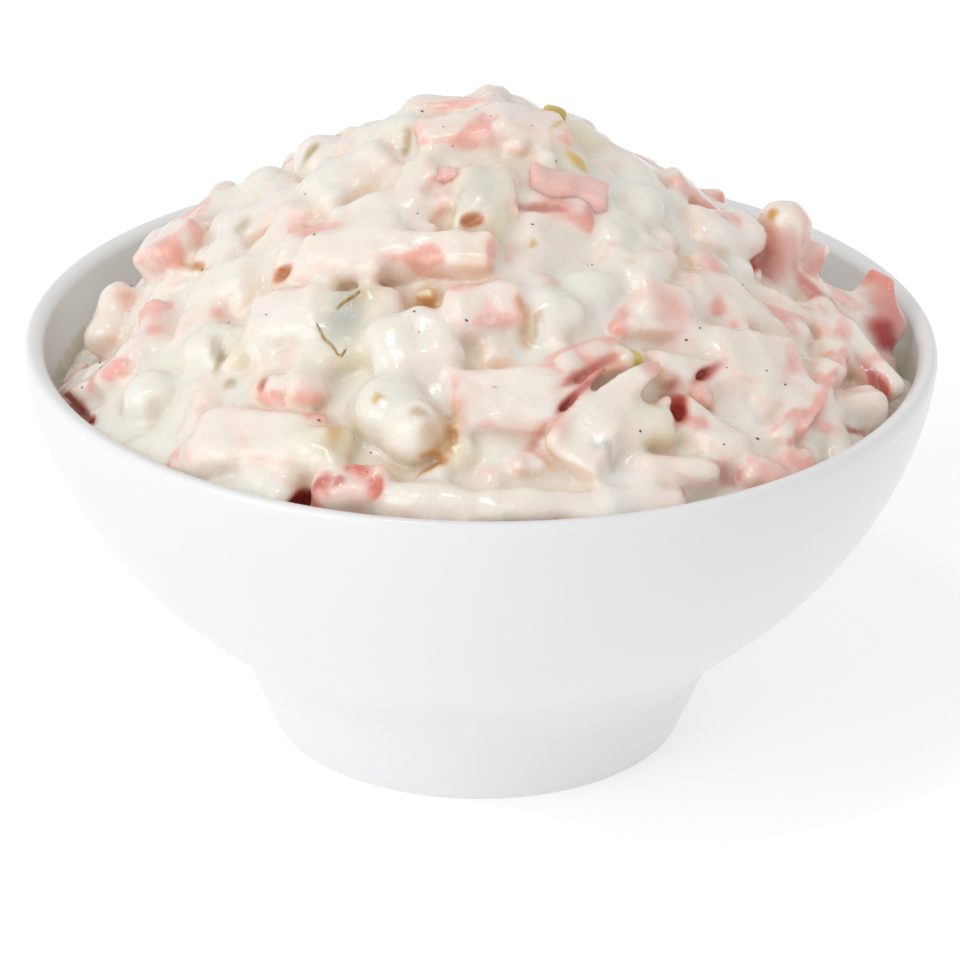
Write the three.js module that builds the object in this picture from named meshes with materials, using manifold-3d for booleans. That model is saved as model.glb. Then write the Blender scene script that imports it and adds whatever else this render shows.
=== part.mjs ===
// A footed porcelain bowl heaped with sausage salad: strips of cooked sausage, peas and gherkin
// bits, all coated in mayonnaise. Millimetres, +Z up, the origin under the middle of the foot.
// The front, which faces -Y, follows the photograph. The back is filled by a seeded rule.
import * as THREE from "three";
import { mergeVertices } from "three/addons/utils/BufferGeometryUtils.js";
import Module from "manifold-3d";

const wasm = await Module();
wasm.setup();

// Driving sizes of the bowl
const RIM_RADIUS = 55;
const RIM_HEIGHT = 50.5;
const WALL = 2.4;
const BELLY_DEPTH = 48;
const BELLY_POWER = 1.78;
const WELL_POWER = 1.9;
const WELL_FLOOR = 8;
const FOOT_RADIUS = 25.2;
const FOOT_HEIGHT = 12;
const FOOT_TOP_RADIUS = 30.2;
const FOOT_FILLET = 2;
const FOOT_RING = 4;
const FOOT_EDGE = 0.6;
const RECESS_DEPTH = 4.5;
const LIP_DROP = 1.3;
const LIP_PEAK_INSET = 0.8;
const BOWL_SIDES = 48;
const INNER_STEPS = 7;
const OUTER_STEPS = 12;
const LIP_STEPS = 3;
const INNER_CROWDING = 1.7;
const OUTER_CROWDING = 1.15;

// Driving sizes of the heap. Its surface is a cone with a flattened top, steeper on its right by the
// skew, and away from the front its edge falls from the start radius to the end radius.
const CONE_TOP = 82.5;
const CONE_SLOPE = 0.665;
const CONE_SKEW = 0.03;
const PLATEAU = 78;
const PLATEAU_EASE = 5;
const EDGE_START = 38;
const EDGE_END = 48;
const EDGE_FALL = 7.5;
const EDGE_SKEW = 0.25;
const CORE_REACH = 52.5;
const SINK = 1.1;
const GAP = 0.4;
const CORE_SIDES = 36;
const CORE_RINGS = 9;
const CORE_WALL_STEPS = 5;
const CORE_CROWDING = 1.5;

// Driving sizes of the pieces in it. A block as long as LARGE has more corners than a shorter one.
const STRIP_WIDTH = 5;
const STRIP_THICK = 4.5;
const PEA_RADIUS = 4.2;
const PROUD = 1.6;
const PEA_SWELL = 1.05;
const PEA_DETAIL = 1;
const LARGE = 9;
const CHAMFER_SHARE = 0.62;
const CHAMFER_LIMIT = 0.42;
const DRAWS = 4000;
const PIECE_SPACING = 7;
const PIECE_REACH = 41.5;
const SEED = 2718;

// A piece that would cross the wall is moved in by a little more than its worst corner needs.
const WALL_TRIES = 12;
const WALL_MARGIN = 1.02;

// The heap's surface may move by this much while the slivers left by the joining are taken out.
const SLIVER = 0.15;

const DRESSED = new THREE.MeshStandardMaterial({ color: 0xf3e3da, roughness: 0.35, metalness: 0 });
const PORCELAIN = new THREE.MeshStandardMaterial({ color: 0xf2f3f3, roughness: 0.15, metalness: 0 });

const degrees = THREE.MathUtils.degToRad;
const mix = THREE.MathUtils.lerp;
const smoothstep = THREE.MathUtils.smoothstep;

// The smaller and the larger of two numbers, eased into each other over a band.
function softMin(a, b, band) {
  const h = THREE.MathUtils.clamp(0.5 + (0.5 * (b - a)) / band, 0, 1);
  return mix(b, a, h) - band * h * (1 - h);
}

function softMax(a, b, band) {
  return -softMin(-a, -b, band);
}

// Radius at a height of a belly that opens upwards to the rim as a superellipse.
function bellyRadius(z, rim, depth, power) {
  const down = THREE.MathUtils.clamp((RIM_HEIGHT - z) / depth, 0, 1);
  return rim * (1 - down ** power) ** (1 / power);
}

function outerRadius(z) {
  const foot = mix(FOOT_RADIUS, FOOT_TOP_RADIUS, z / FOOT_HEIGHT);
  return softMax(bellyRadius(z, RIM_RADIUS, BELLY_DEPTH, BELLY_POWER), foot, FOOT_FILLET);
}

function innerRadius(z, clearance = 0) {
  const depth = RIM_HEIGHT - WELL_FLOOR - clearance;
  return bellyRadius(z, RIM_RADIUS - WALL - clearance, depth, WELL_POWER);
}

// The bowl's section from the middle of the well, over the lip and down to the foot's recess. Its
// steps are crowded towards where the section turns.
function bowlSection() {
  const points = [new THREE.Vector2(0, WELL_FLOOR)];
  const lipFoot = RIM_HEIGHT - LIP_DROP;
  for (let i = 1; i <= INNER_STEPS; i++) {
    const z = mix(WELL_FLOOR, lipFoot, (i / INNER_STEPS) ** INNER_CROWDING);
    points.push(new THREE.Vector2(innerRadius(z), z));
  }
  const peak = RIM_RADIUS - LIP_PEAK_INSET;
  const inside = innerRadius(lipFoot);
  for (let i = 1; i <= LIP_STEPS; i++) {
    const turn = (i / LIP_STEPS) * (Math.PI / 2);
    const r = inside + (peak - inside) * (1 - Math.cos(turn));
    points.push(new THREE.Vector2(r, lipFoot + LIP_DROP * Math.sin(turn)));
  }
  for (let i = 1; i <= LIP_STEPS; i++) {
    const turn = (i / LIP_STEPS) * (Math.PI / 2);
    const z = RIM_HEIGHT - LIP_DROP * (1 - Math.cos(turn));
    points.push(new THREE.Vector2(peak + (outerRadius(lipFoot) - peak) * Math.sin(turn), z));
  }
  for (let i = 1; i <= OUTER_STEPS; i++) {
    const z = mix(lipFoot, FOOT_EDGE, 1 - (1 - i / OUTER_STEPS) ** OUTER_CROWDING);
    points.push(new THREE.Vector2(outerRadius(z), z));
  }
  points.push(new THREE.Vector2(FOOT_RADIUS - FOOT_EDGE, 0));
  points.push(new THREE.Vector2(FOOT_RADIUS - FOOT_RING, 0));
  points.push(new THREE.Vector2(FOOT_RADIUS - FOOT_RING - FOOT_EDGE, RECESS_DEPTH));
  points.push(new THREE.Vector2(0, RECESS_DEPTH));
  return points;
}

function bowl() {
  const geometry = new THREE.LatheGeometry(bowlSection().reverse(), BOWL_SIDES);
  geometry.rotateX(Math.PI / 2);
  const mesh = new THREE.Mesh(geometry, PORCELAIN);
  mesh.name = "bowl";
  return mesh;
}

// Height of the heap's mean surface over a point of the plan: a cone with a flattened top, steeper
// on its right. It reaches the lip at the front, and falls away from the wall everywhere else.
function heapTop(x, y) {
  const r = Math.hypot(x, y);
  const cone = CONE_TOP - CONE_SLOPE * r - CONE_SKEW * x;
  const back = smoothstep((y - EDGE_SKEW * x) / Math.max(r, 1e-6), -0.3, 0.25);
  const fall = EDGE_FALL * back * smoothstep(r, EDGE_START, EDGE_END);
  return softMin(PLATEAU, cone, PLATEAU_EASE) - fall;
}

// Low waves that keep the bare dressing between the pieces from being a plain cone.
function waves(x, y) {
  return 0.5 * Math.sin(0.31 * x + 1.1) * Math.cos(0.27 * y - 0.4) + 0.35 * Math.sin(0.43 * (x + y));
}

function heapNormal(x, y) {
  const step = 1;
  const dx = (heapTop(x + step, y) - heapTop(x - step, y)) / (2 * step);
  const dy = (heapTop(x, y + step) - heapTop(x, y - step)) / (2 * step);
  return new THREE.Vector3(-dx, -dy, 1).normalize();
}

// The heap's core: the mean surface, let down a little, on the shape of the bowl's inside.
function coreGeometry() {
  const rings = [];
  const sides = CORE_SIDES;
  const edgeHeight = (c, s) => heapTop(CORE_REACH * c, CORE_REACH * s) - SINK;
  for (let i = 1; i <= CORE_RINGS; i++) {
    rings.push((angle) => {
      const c = Math.cos(angle);
      const s = Math.sin(angle);
      const r = innerRadius(edgeHeight(c, s), GAP) * (i / CORE_RINGS);
      const z = heapTop(r * c, r * s) - SINK + waves(r * c, r * s) * (1 - i / CORE_RINGS);
      return [r * c, r * s, z];
    });
  }
  for (let i = 1; i <= CORE_WALL_STEPS; i++) {
    rings.push((angle) => {
      const c = Math.cos(angle);
      const s = Math.sin(angle);
      const down = 1 - (1 - i / (CORE_WALL_STEPS + 1)) ** CORE_CROWDING;
      const z = mix(edgeHeight(c, s), WELL_FLOOR + GAP, down);
      const r = innerRadius(z, GAP);
      return [r * c, r * s, z];
    });
  }
  const positions = [0, 0, heapTop(0, 0) - SINK];
  for (const ring of rings) {
    for (let k = 0; k < sides; k++) positions.push(...ring((2 * Math.PI * k) / sides));
  }
  positions.push(0, 0, WELL_FLOOR + GAP);
  const last = rings.length * sides + 1;
  const at = (ring, k) => 1 + ring * sides + (k % sides);
  const faces = [];
  for (let k = 0; k < sides; k++) {
    faces.push(0, at(0, k), at(0, k + 1));
    faces.push(last, at(rings.length - 1, k + 1), at(rings.length - 1, k));
    for (let ring = 0; ring < rings.length - 1; ring++) {
      faces.push(at(ring, k), at(ring + 1, k), at(ring + 1, k + 1));
      faces.push(at(ring, k), at(ring + 1, k + 1), at(ring, k + 1));
    }
  }
  const geometry = new THREE.BufferGeometry();
  geometry.setAttribute("position", new THREE.Float32BufferAttribute(positions, 3));
  geometry.setIndex(faces);
  return geometry;
}

// Kinds of piece. at is a point of the plan, turn its heading in plan from +X, rise how far its far
// end is lifted, lean its roll about its own length, proud how far it stands out of the heap.
// bend lifts its ends, and taper is the share of the section that is left at its far end. A plumb
// piece is set from the level, and any other from the slope of the heap under it.
const PIECE_DEFAULTS = {
  turn: 0, rise: 0, lean: 0, long: 10, wide: STRIP_WIDTH, thick: STRIP_THICK,
  round: 0.8, proud: PROUD, bend: 0, taper: 1, plumb: false,
};

function strip(at, turn, long, more = {}) {
  return { ...PIECE_DEFAULTS, kind: "strip", at, turn, long, ...more };
}

function slab(at, turn, long, wide, more = {}) {
  return { ...PIECE_DEFAULTS, kind: "strip", at, turn, long, wide, thick: 4, round: 1.2, ...more };
}

function gherkin(at, turn, long, wide, more = {}) {
  return { ...PIECE_DEFAULTS, kind: "gherkin", at, turn, long, wide, thick: 4, round: 1.4, ...more };
}

function pea(at, proud = PROUD, radius = PEA_RADIUS) {
  const across = 2 * radius;
  return { ...PIECE_DEFAULTS, kind: "pea", at, long: across, wide: across, thick: across, proud };
}

// The pieces that the photograph shows, from the crest down the front to the rim.
const SHOWN_PIECES = [
  // The crest and the two slopes seen against the background
  strip([-4, 5.5], -12, 12, { thick: 4, proud: 1 }),
  slab([-3, -4], 7, 11, 6.5, { proud: 1.6 }),
  slab([3, -2], 20, 8, 7, { thick: 5, proud: 2.7 }),
  pea([-10, 1.5], 2, 4.2),
  strip([-9, -9.5], -95, 9, { round: 1.6, proud: 1.4 }),
  strip([-14, 5], 0, 9, { thick: 4, proud: 1.8 }),
  pea([-19.5, 9], 2.8, 4),
  pea([-25.5, 11], 3, 3.8),
  pea([-30, 12], 2.8, 3.8),
  gherkin([7.6, 5], 0, 4, 3.5, { thick: 4, proud: 1.6 }),
  gherkin([11.5, 5], -30, 8, 6, { thick: 5, round: 2, proud: 1.4 }),
  gherkin([10.5, -5], 20, 4, 3, { thick: 3, proud: 0.9 }),
  strip([15, 4.6], 0, 5, { wide: 3.6, thick: 4, rise: 60, proud: 1.6 }),
  strip([20, 5], 20, 10, { proud: 1 }),
  strip([26, 4], 10, 11, { wide: 5.5, taper: 0.5, proud: 2.6 }),
  strip([10.5, -10], 25, 10, { thick: 4, proud: 1.9, lean: -10 }),
  strip([9, -13], 13, 9, { wide: 3.5, thick: 3, proud: 1.2 }),
  strip([-20.5, -9], -40, 5, { wide: 4, thick: 3, proud: 0.9 }),
  strip([-10, -20], -14, 23, { wide: 5.2, proud: 1.8 }),
  strip([-5, -11.5], -7, 4, { wide: 2.4, thick: 3, proud: 0.9 }),
  gherkin([-0.3, -14.5], -96, 10, 7.5, { thick: 6, round: 2.6, proud: 2 }),
  // The right slope
  pea([19, -5], 1.8, 3.9),
  strip([20, -14.3], 29, 6, { wide: 3.5, thick: 3, proud: 1 }),
  strip([28, -1], 34, 12, { wide: 6, thick: 6, round: 2.6, rise: 13, proud: 4 }),
  strip([26.5, -10], -49, 5, { wide: 4, thick: 3, proud: 1 }),
  strip([36.5, 4], 82, 12, { wide: 6, thick: 6, rise: 80, round: 1.6, proud: 8.2, plumb: true }),
  strip([39.5, 5], 82, 8, { wide: 4, thick: 4, rise: 75, proud: 6, plumb: true }),
  strip([41.5, 2], 10, 8, { wide: 5, rise: 14, proud: 2.6 }),
  strip([38.5, -0.5], 11, 7, { wide: 3.5, thick: 3, proud: 1.4 }),
  slab([47.8, 6.2], 40, 12, 5, { thick: 2.6, rise: 42, bend: 1.4, proud: 6.8, plumb: true }),
  strip([44.5, 1.5], 60, 8, { wide: 3.5, thick: 3, proud: 1.6 }),
  strip([41, -7], -85, 11, { wide: 4.5, thick: 4 }),
  strip([40, -17], -105, 12, { wide: 4, thick: 4, bend: -0.5 }),
  strip([36, -27.5], -110, 10, { wide: 4, thick: 4 }),
  strip([33, -12.3], 23, 15, { wide: 5, thick: 4, proud: 1.3 }),
  strip([37, -7.5], 20, 7, { wide: 2.5, thick: 2.5, proud: 1.8 }),
  slab([32, -22], 24, 13, 9, { proud: 1.8 }),
  slab([45, -11], -48, 12, 5, { thick: 2.6, lean: 35, proud: 3 }),
  strip([45, -20], 20, 9, { proud: 2.4, plumb: true }),
  strip([39.5, -25.5], -90, 5, { wide: 4, thick: 3.5, proud: 1.4 }),
  strip([36, -34], 41, 5.5, { wide: 4, thick: 3.5, proud: 1.4 }),
  strip([31.5, -37.5], 17, 6, { wide: 5, thick: 4, round: 1.4, proud: 2 }),
  strip([21, -20.5], 12, 6, { wide: 5.5, thick: 4 }),
  strip([26, -21.5], 5, 6, { wide: 4.5, thick: 4, proud: 1 }),
  // The middle of the front
  slab([3.5, -37], 8, 16, 8.5, { proud: 2 }),
  strip([12.5, -31.5], 32, 11, { thick: 4, proud: 1.4 }),
  slab([14.3, -36.8], 52, 16, 6, { thick: 3.4, taper: 0.45, lean: -20, proud: 3.4, round: 1.4 }),
  gherkin([18.4, -36.8], 18, 7.5, 5.5, { thick: 5, round: 2.2, proud: 2.8 }),
  strip([25.3, -34], -26, 11, { thick: 4 }),
  gherkin([17.4, -29.6], 15, 2.4, 2, { thick: 2.4, proud: 2 }),
  pea([14.5, -38.7], 1.2, 3.8),
  strip([7.5, -48.3], 5, 17, { wide: 5.4, thick: 5, round: 2.2, proud: 2 }),
  strip([18.5, -45.8], 18, 11, { round: 1.8 }),
  strip([-5.5, -48.6], -4, 11.5, { wide: 5, thick: 5, round: 2.2, proud: 1.8 }),
  strip([22, -41], 12, 10, { round: 1.8 }),
  pea([-10.6, -37.5], 3.2, 4.2),
  pea([-7.7, -40], 3.8, 4.3),
  gherkin([-2.9, -42.8], 41, 4, 3, { thick: 3, proud: 0.7 }),
  slab([-7.8, -31], 10, 10, 8.5, { thick: 6, round: 2.8, proud: 2.4 }),
  strip([0.5, -27.3], 7, 9, { wide: 5.5, thick: 5, proud: 2.2 }),
  pea([8.7, -26.5], 1.8, 4.1),
  pea([13.1, -21.4], 1.4, 3.8),
  // The left slope and its edge
  strip([-19.7, -32.6], -80, 7, { wide: 4.8, thick: 4.8, rise: 35, round: 2, proud: 2.8 }),
  strip([-24, -32.7], -48, 7, { wide: 3.5, thick: 3, proud: 1 }),
  gherkin([-14.9, -27], -95, 10, 6.5, { proud: 1.2, round: 1.8 }),
  slab([-22.8, -23.4], -13, 11, 8, { thick: 5, round: 2.4 }),
  slab([-25.5, -38.5], -15, 16, 8.5, { thick: 5, round: 2, proud: 2 }),
  gherkin([-18.2, -41.6], -8, 6.5, 6, { thick: 5.5, round: 2.4, proud: 2.4 }),
  strip([-15.2, -45.8], -10, 8.5, { wide: 5, thick: 5 }),
  strip([-36.8, -0.5], -44, 9, { wide: 7, thick: 6, proud: 3 }),
  strip([-38.5, -12], -88, 9, { wide: 4, thick: 4, proud: 1.4 }),
  slab([-43.3, 0], 70, 9, 6, { thick: 6, round: 2.6, proud: 2.8 }),
  strip([-33.3, -17.6], -20, 6.5, { wide: 4, thick: 3, proud: 1.2 }),
  pea([-29.6, -1.4], 2, 3.9),
  strip([-31, -7], -41, 8, { round: 1.8 }),
  pea([-31.2, -23], 2, 4),
  gherkin([-28, -26.5], 40, 3.4, 2.6, { thick: 2.6, proud: 1.2 }),
  pea([-38.8, -25.4], 1.6, 4),
  slab([-44.6, -14.5], -48, 15, 8, { thick: 4.5, round: 1.8, proud: 2.2 }),
  strip([-48.4, -3], 80, 6, { wide: 3, thick: 3, proud: 1.8 }),
  strip([-33.2, -38.6], -34, 6, { wide: 3.5, thick: 3, proud: 1 }),
  strip([-32, -32.7], 70, 5, { wide: 3, thick: 3, proud: 1 }),
];

// Seeded draws between two numbers.
function drawer(seed) {
  let state = seed;
  return (low, high) => {
    state = (Math.imul(state, 1664525) + 1013904223) >>> 0;
    return low + ((high - low) * state) / 4294967296;
  };
}

// Pieces that fill what the photograph doesn't show, each kept clear of its neighbours' middles.
function backPieces(shown) {
  const draw = drawer(SEED);
  const placed = shown.map((piece) => piece.at);
  const made = [];
  for (let tries = 0; tries < DRAWS; tries++) {
    const angle = draw(0, 2 * Math.PI);
    const r = PIECE_REACH * Math.sqrt(draw(0, 1));
    const at = [r * Math.cos(angle), r * Math.sin(angle)];
    const turn = draw(0, 180);
    const size = draw(0, 1);
    const kind = draw(0, 1);
    const proud = draw(0.8, 2);
    const rise = draw(-14, 14);
    const near = placed.some((p) => Math.hypot(p[0] - at[0], p[1] - at[1]) < PIECE_SPACING);
    if (near) continue;
    placed.push(at);
    const bend = draw(-0.6, 0.9);
    if (kind < 0.2) made.push(pea(at, proud, mix(3.8, 4.5, size)));
    else if (kind < 0.36) made.push(gherkin(at, turn, mix(4, 9, size), mix(3.5, 6, size), { proud }));
    else if (kind < 0.52) made.push(slab(at, turn, mix(9, 14, size), mix(7, 9, size), { proud }));
    else made.push(strip(at, turn, mix(9, 20, size), { wide: mix(4, 5.4, size), proud, rise, bend }));
  }
  return made;
}

// A piece's own frame: its length on X, its width on Y and its thickness on Z.
function pieceFrame(piece) {
  const [x, y] = piece.at;
  const up = piece.plumb ? new THREE.Vector3(0, 0, 1) : heapNormal(x, y);
  const along = new THREE.Vector3(Math.cos(degrees(piece.turn)), Math.sin(degrees(piece.turn)), 0);
  along.setZ(-along.dot(up) / up.z).normalize();
  const across = new THREE.Vector3().crossVectors(up, along);
  const frame = new THREE.Matrix4().makeBasis(along, across, up);
  frame.multiply(new THREE.Matrix4().makeRotationY(-degrees(piece.rise)));
  frame.multiply(new THREE.Matrix4().makeRotationX(degrees(piece.lean)));
  const standing = Math.abs(Math.sin(degrees(piece.rise)));
  const half = mix(piece.thick, piece.long, standing) / 2;
  const middle = new THREE.Vector3(x, y, heapTop(x, y)).addScaledVector(up, piece.proud - half);
  return frame.setPosition(middle);
}

// The corners of a block's section, w by t from its middle. A large block has its upper edges
// chamfered, and a small one narrows upwards instead, which takes fewer corners.
function sectionCorners(piece, w, t, cut) {
  const base = [[-w, -t], [w, -t]];
  if (piece.long < LARGE) return [[w - cut, t], [cut - w, t], ...base];
  return [[w, t - cut], [w - cut, t], [cut - w, t], [-w, t - cut], ...base];
}

// A strip or block with both its ends chamfered, as rings of corners along its length.
function blockRings(piece) {
  const least = Math.min(piece.wide, piece.thick, piece.long);
  const chamfer = Math.min(CHAMFER_SHARE * piece.round, CHAMFER_LIMIT * least);
  const half = piece.long / 2;
  const stations = [[-half, chamfer], [-half + chamfer, 0], [half - chamfer, 0], [half, chamfer]];
  if (piece.bend !== 0) stations.splice(2, 0, [0, 0]);
  return stations.map(([x, inset]) => {
    const share = mix(1, piece.taper, (x + half) / piece.long);
    const w = (piece.wide / 2) * share - inset;
    const t = (piece.thick / 2) * share - inset;
    const lift = piece.bend * (x / half) ** 2;
    return sectionCorners(piece, w, t, chamfer * share).map(([a, b]) => [x, a, b + lift]);
  });
}

function blockGeometry(piece) {
  const rings = blockRings(piece);
  const points = rings.flat();
  const ring = rings[0].length;
  const last = points.length - ring;
  const faces = [];
  for (let start = 0; start < last; start += ring) {
    for (let k = 0; k < ring; k++) {
      const a = start + k;
      const b = start + ((k + 1) % ring);
      faces.push(a, b + ring, b, a, a + ring, b + ring);
    }
  }
  for (let k = 1; k < ring - 1; k++) {
    faces.push(0, k, k + 1, last, last + k + 1, last + k);
  }
  const geometry = new THREE.BufferGeometry();
  geometry.setAttribute("position", new THREE.Float32BufferAttribute(points.flat(), 3));
  geometry.setIndex(faces.reverse());
  return geometry;
}

function pieceGeometry(piece) {
  const round = piece.kind === "pea";
  const radius = (PEA_SWELL * piece.long) / 2;
  const geometry = round ? new THREE.IcosahedronGeometry(radius, PEA_DETAIL) : blockGeometry(piece);
  return geometry.applyMatrix4(pieceFrame(piece));
}

// How far out a point may lie: inside the wall, or inside the lip's outline above the rim.
function roomAt(z) {
  if (z >= RIM_HEIGHT + GAP) return RIM_RADIUS - GAP;
  return innerRadius(Math.min(z, RIM_HEIGHT), GAP);
}

// Moves a piece in towards the middle of the bowl until all of it clears the wall.
function clearOfWall(geometry) {
  const points = geometry.attributes.position;
  for (let tries = 0; tries < WALL_TRIES; tries++) {
    let worst = 0;
    let push = [0, 0];
    for (let i = 0; i < points.count; i++) {
      const [x, y] = [points.getX(i), points.getY(i)];
      const r = Math.hypot(x, y);
      const over = WALL_MARGIN * (r - roomAt(points.getZ(i)));
      if (over > worst) {
        worst = over;
        push = [(-x / r) * over, (-y / r) * over];
      }
    }
    if (worst === 0) break;
    geometry.translate(push[0], push[1], 0);
  }
  return geometry;
}

// A closed mesh as a solid that can be joined.
function solid(geometry) {
  const bare = geometry.clone();
  bare.deleteAttribute("normal");
  bare.deleteAttribute("uv");
  const merged = mergeVertices(bare, 1e-3);
  const vertProperties = new Float32Array(merged.attributes.position.array);
  const triVerts = new Uint32Array(merged.index.array);
  return new wasm.Manifold(new wasm.Mesh({ numProp: 3, vertProperties, triVerts }));
}

// The largest outer skin of a joined solid, so that a hollow sealed by the joining is filled.
function outerSkin(joined) {
  const skins = joined.decompose();
  return skins.reduce((best, skin) => (skin.volume() > best.volume() ? skin : best));
}

function heap() {
  const pieces = [...SHOWN_PIECES, ...backPieces(SHOWN_PIECES)];
  let joined = solid(coreGeometry());
  for (const piece of pieces) {
    joined = joined.add(solid(clearOfWall(pieceGeometry(piece))));
  }
  const skin = outerSkin(joined.simplify(SLIVER)).getMesh();
  const geometry = new THREE.BufferGeometry();
  geometry.setAttribute("position", new THREE.BufferAttribute(skin.vertProperties, 3));
  geometry.setIndex(new THREE.BufferAttribute(skin.triVerts, 1));
  const mesh = new THREE.Mesh(geometry, DRESSED);
  mesh.name = "salad";
  return mesh;
}

const group = new THREE.Group();
group.add(bowl(), heap());

export default group;
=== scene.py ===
import itertools
import math

import bpy
import numpy as np
from bpy.props import FloatProperty, FloatVectorProperty, IntProperty, PointerProperty
from mathutils import Matrix


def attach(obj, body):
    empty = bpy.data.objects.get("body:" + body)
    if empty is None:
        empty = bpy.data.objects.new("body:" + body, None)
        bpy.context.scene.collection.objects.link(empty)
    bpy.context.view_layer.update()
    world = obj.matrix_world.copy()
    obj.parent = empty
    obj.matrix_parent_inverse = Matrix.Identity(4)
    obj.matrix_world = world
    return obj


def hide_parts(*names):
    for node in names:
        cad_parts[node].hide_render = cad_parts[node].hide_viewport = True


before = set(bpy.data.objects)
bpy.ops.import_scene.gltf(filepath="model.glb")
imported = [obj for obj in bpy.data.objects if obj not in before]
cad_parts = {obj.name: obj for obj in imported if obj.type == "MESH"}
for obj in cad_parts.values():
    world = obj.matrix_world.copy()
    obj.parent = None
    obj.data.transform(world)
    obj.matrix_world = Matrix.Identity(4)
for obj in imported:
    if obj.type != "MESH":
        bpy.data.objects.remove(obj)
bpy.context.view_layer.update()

bl_info = {
    "name": "Sausage Salad in a Footed Bowl",
    "version": (1, 0, 0),
    "blender": (4, 5, 0),
    "location": "View3D > Sidebar > Salad",
    "description": "Builds a porcelain bowl heaped with dressed sausage salad, and its studio",
    "category": "Object",
}

METRES = 0.001
TINY = 1e-6

# The heap's mean surface, as in the part's source
PLATEAU_EASE = 5
EDGE_START = 38
EDGE_END = 48
EDGE_SKEW = 0.25
BACK_RANGE = (-0.3, 0.25)
GAP = 0.4

# The pieces' common values, as in the part's source
PEA_RADIUS = 4.2
PEA_SWELL = 1.05
PROUD = 1.6
LARGE = 9
CHAMFER_SHARE = 0.62
CHAMFER_LIMIT = 0.42
DRAW_FACTOR = 1664525
DRAW_STEP = 1013904223
DRAW_SPAN = 4294967296
DRAWS = 4000
PIECE_SPACING = 7
PIECE_REACH = 41.5

# What the draws of the pieces at the back spread over, as in the part's source
PIECE_PROUD = (0.8, 2)
PIECE_RISE = 14
PIECE_BEND = (-0.6, 0.9)
PEA_RADII = (3.8, 4.5)
GHERKIN_WIDTHS = (3.5, 6)
GHERKIN_LENGTHS = (4, 9)
SLAB_WIDTHS = (7, 9)
SLAB_LENGTHS = (9, 14)
STRIP_WIDTHS = (4, 5.4)
STRIP_LENGTHS = (9, 20)

# What the draws of their looks spread over
FRONT_FILMS = (0.16, 0.46)
BACK_FILMS = (0.06, 0.5)
MOST_DEEP = 0.45
MOST_SLANT = 0.2

# Shares of the draws, added up, that become peas, gherkin bits and slabs. The rest become strips.
PEA_SHARE = 0.2
GHERKIN_SHARE = 0.36
SLAB_SHARE = 0.52

# How a piece is moved in from the wall
WALL_TRIES = 12
BALL_POINTS = 60
WALL_MARGIN = 1.02

# The grid that the heap is worked out on
GRID_REACH = 54.8
GRID_LOW = 34
GRID_HIGH = 84
LEVEL_STEP = 0.05
FAR = 5.0
WINDOW_MARGIN = 2.6

# Periods of the noise that makes the heap uneven
LUMP_PERIOD = 5.0
COAT_PERIOD = 3.4
BUMP_PERIOD = 2.6
GRAIN_PERIOD = 1.3
BEND_PERIOD = 7.0

# How far the noise bends the pieces, and how far it moves the dressing's surface
WARP = 0.42
FLAT_WARP = 0.7 * WARP
SMALL_WARP = 0.16
LUMP_RELIEF = 0.35
BUMP_RELIEF = 0.12
GRAIN_RELIEF = 0.08
CREST = 0.2
CREST_WIDTH = 0.55
CREST_LUMPS = (-0.5, 1.2)
MARK_WANDER = 0.25

# How a mark fades from its middle, across it and in height, and where it thins the dressing
MARK_FULL = 0.25
MARK_NONE = 1.35
HEIGHT_FULL = 0.4
THIN_FULL = 0.4
THIN_NONE = 1.1

# Relief of grain and bumps on a piece of sausage
BARE_RELIEF = (0.18, 0.16)
COATED_RELIEF = (0.04, 0.0)

# The dressing over the mean surface and over a piece, and how it fades where a piece is bare
LIFT = 0.2
COAT_ROUND = 0.55
CRISP_ROUND = 0.2
CRISP_SHARE = 0.45
FILM_ROUNDING = 2.1
LEAST_ROUND = 0.4
MOST_ROUND_SHARE = 0.9
EDGE_INSET = 0.29
EDGE_WIDTH = 0.42
EDGE_BREAKS = (-1.2, 1.0)
LEAST_UNEVEN = 0.06
UNEVEN = 0.45
UNEVEN_GAIN = 0.8
BARE_FILM = 0.03
BARE_DROP = 0.5
BLOB = 0.85
BLOB_FROM = 1.2
BLOB_FULL = 1.8
WALL_PRESS = 0.65

# How a bare piece's mesh is cut out of the dressing, and how meshes are smoothed
BARE_DEPTH = 0.5
BARE_SHOWS = 0.03
BARE_PULL = 0.3
DRESSING_PULL = 0.35
NORMAL_REACH = 0.5

# The dressing's closing below, inside the well
CLOSING_STEPS = 9
CLOSING_CROWDING = 1.5

# How fast what lies under the dressing fades from its colour. A place is closed by what lies ahead
# of it within a reach: each has the reach, and the shares of open air that count as closed and open.
# How closed a place is sets the shade painted into the dressing's folds and the sausage's creases,
# and OPEN_AMBER is the share of a mark's amber that shows in the open, so its painted shade gathers in
# gaps.
# A veil of mayonnaise lies on the bare sausage, more of it where there are bumps and less where it
# is red.
FILM_FADES = {"sausage": 0.85, "pea": 0.7, "gherkin": 0.7}
NEAR_AIR = (1.3, 0.2, 0.9)
FAR_AIR = (3.2, 0.15, 0.85)
BARE_AIR = (1.5, 0.1, 0.8)
OPEN_AMBER = 0.6
LEAST_VEIL = 0.45
VEIL = 0.5
VEIL_BUMPS = (-0.6, 0.8)
RED_CLEARS = 0.7
RED_RANGE = (0.3, 0.8)
SMEAR_RISE = 3.2

# In front of this line the filling pieces are well coated, so that the shown ones stand out.
FRONT_EDGE = 6

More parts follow.
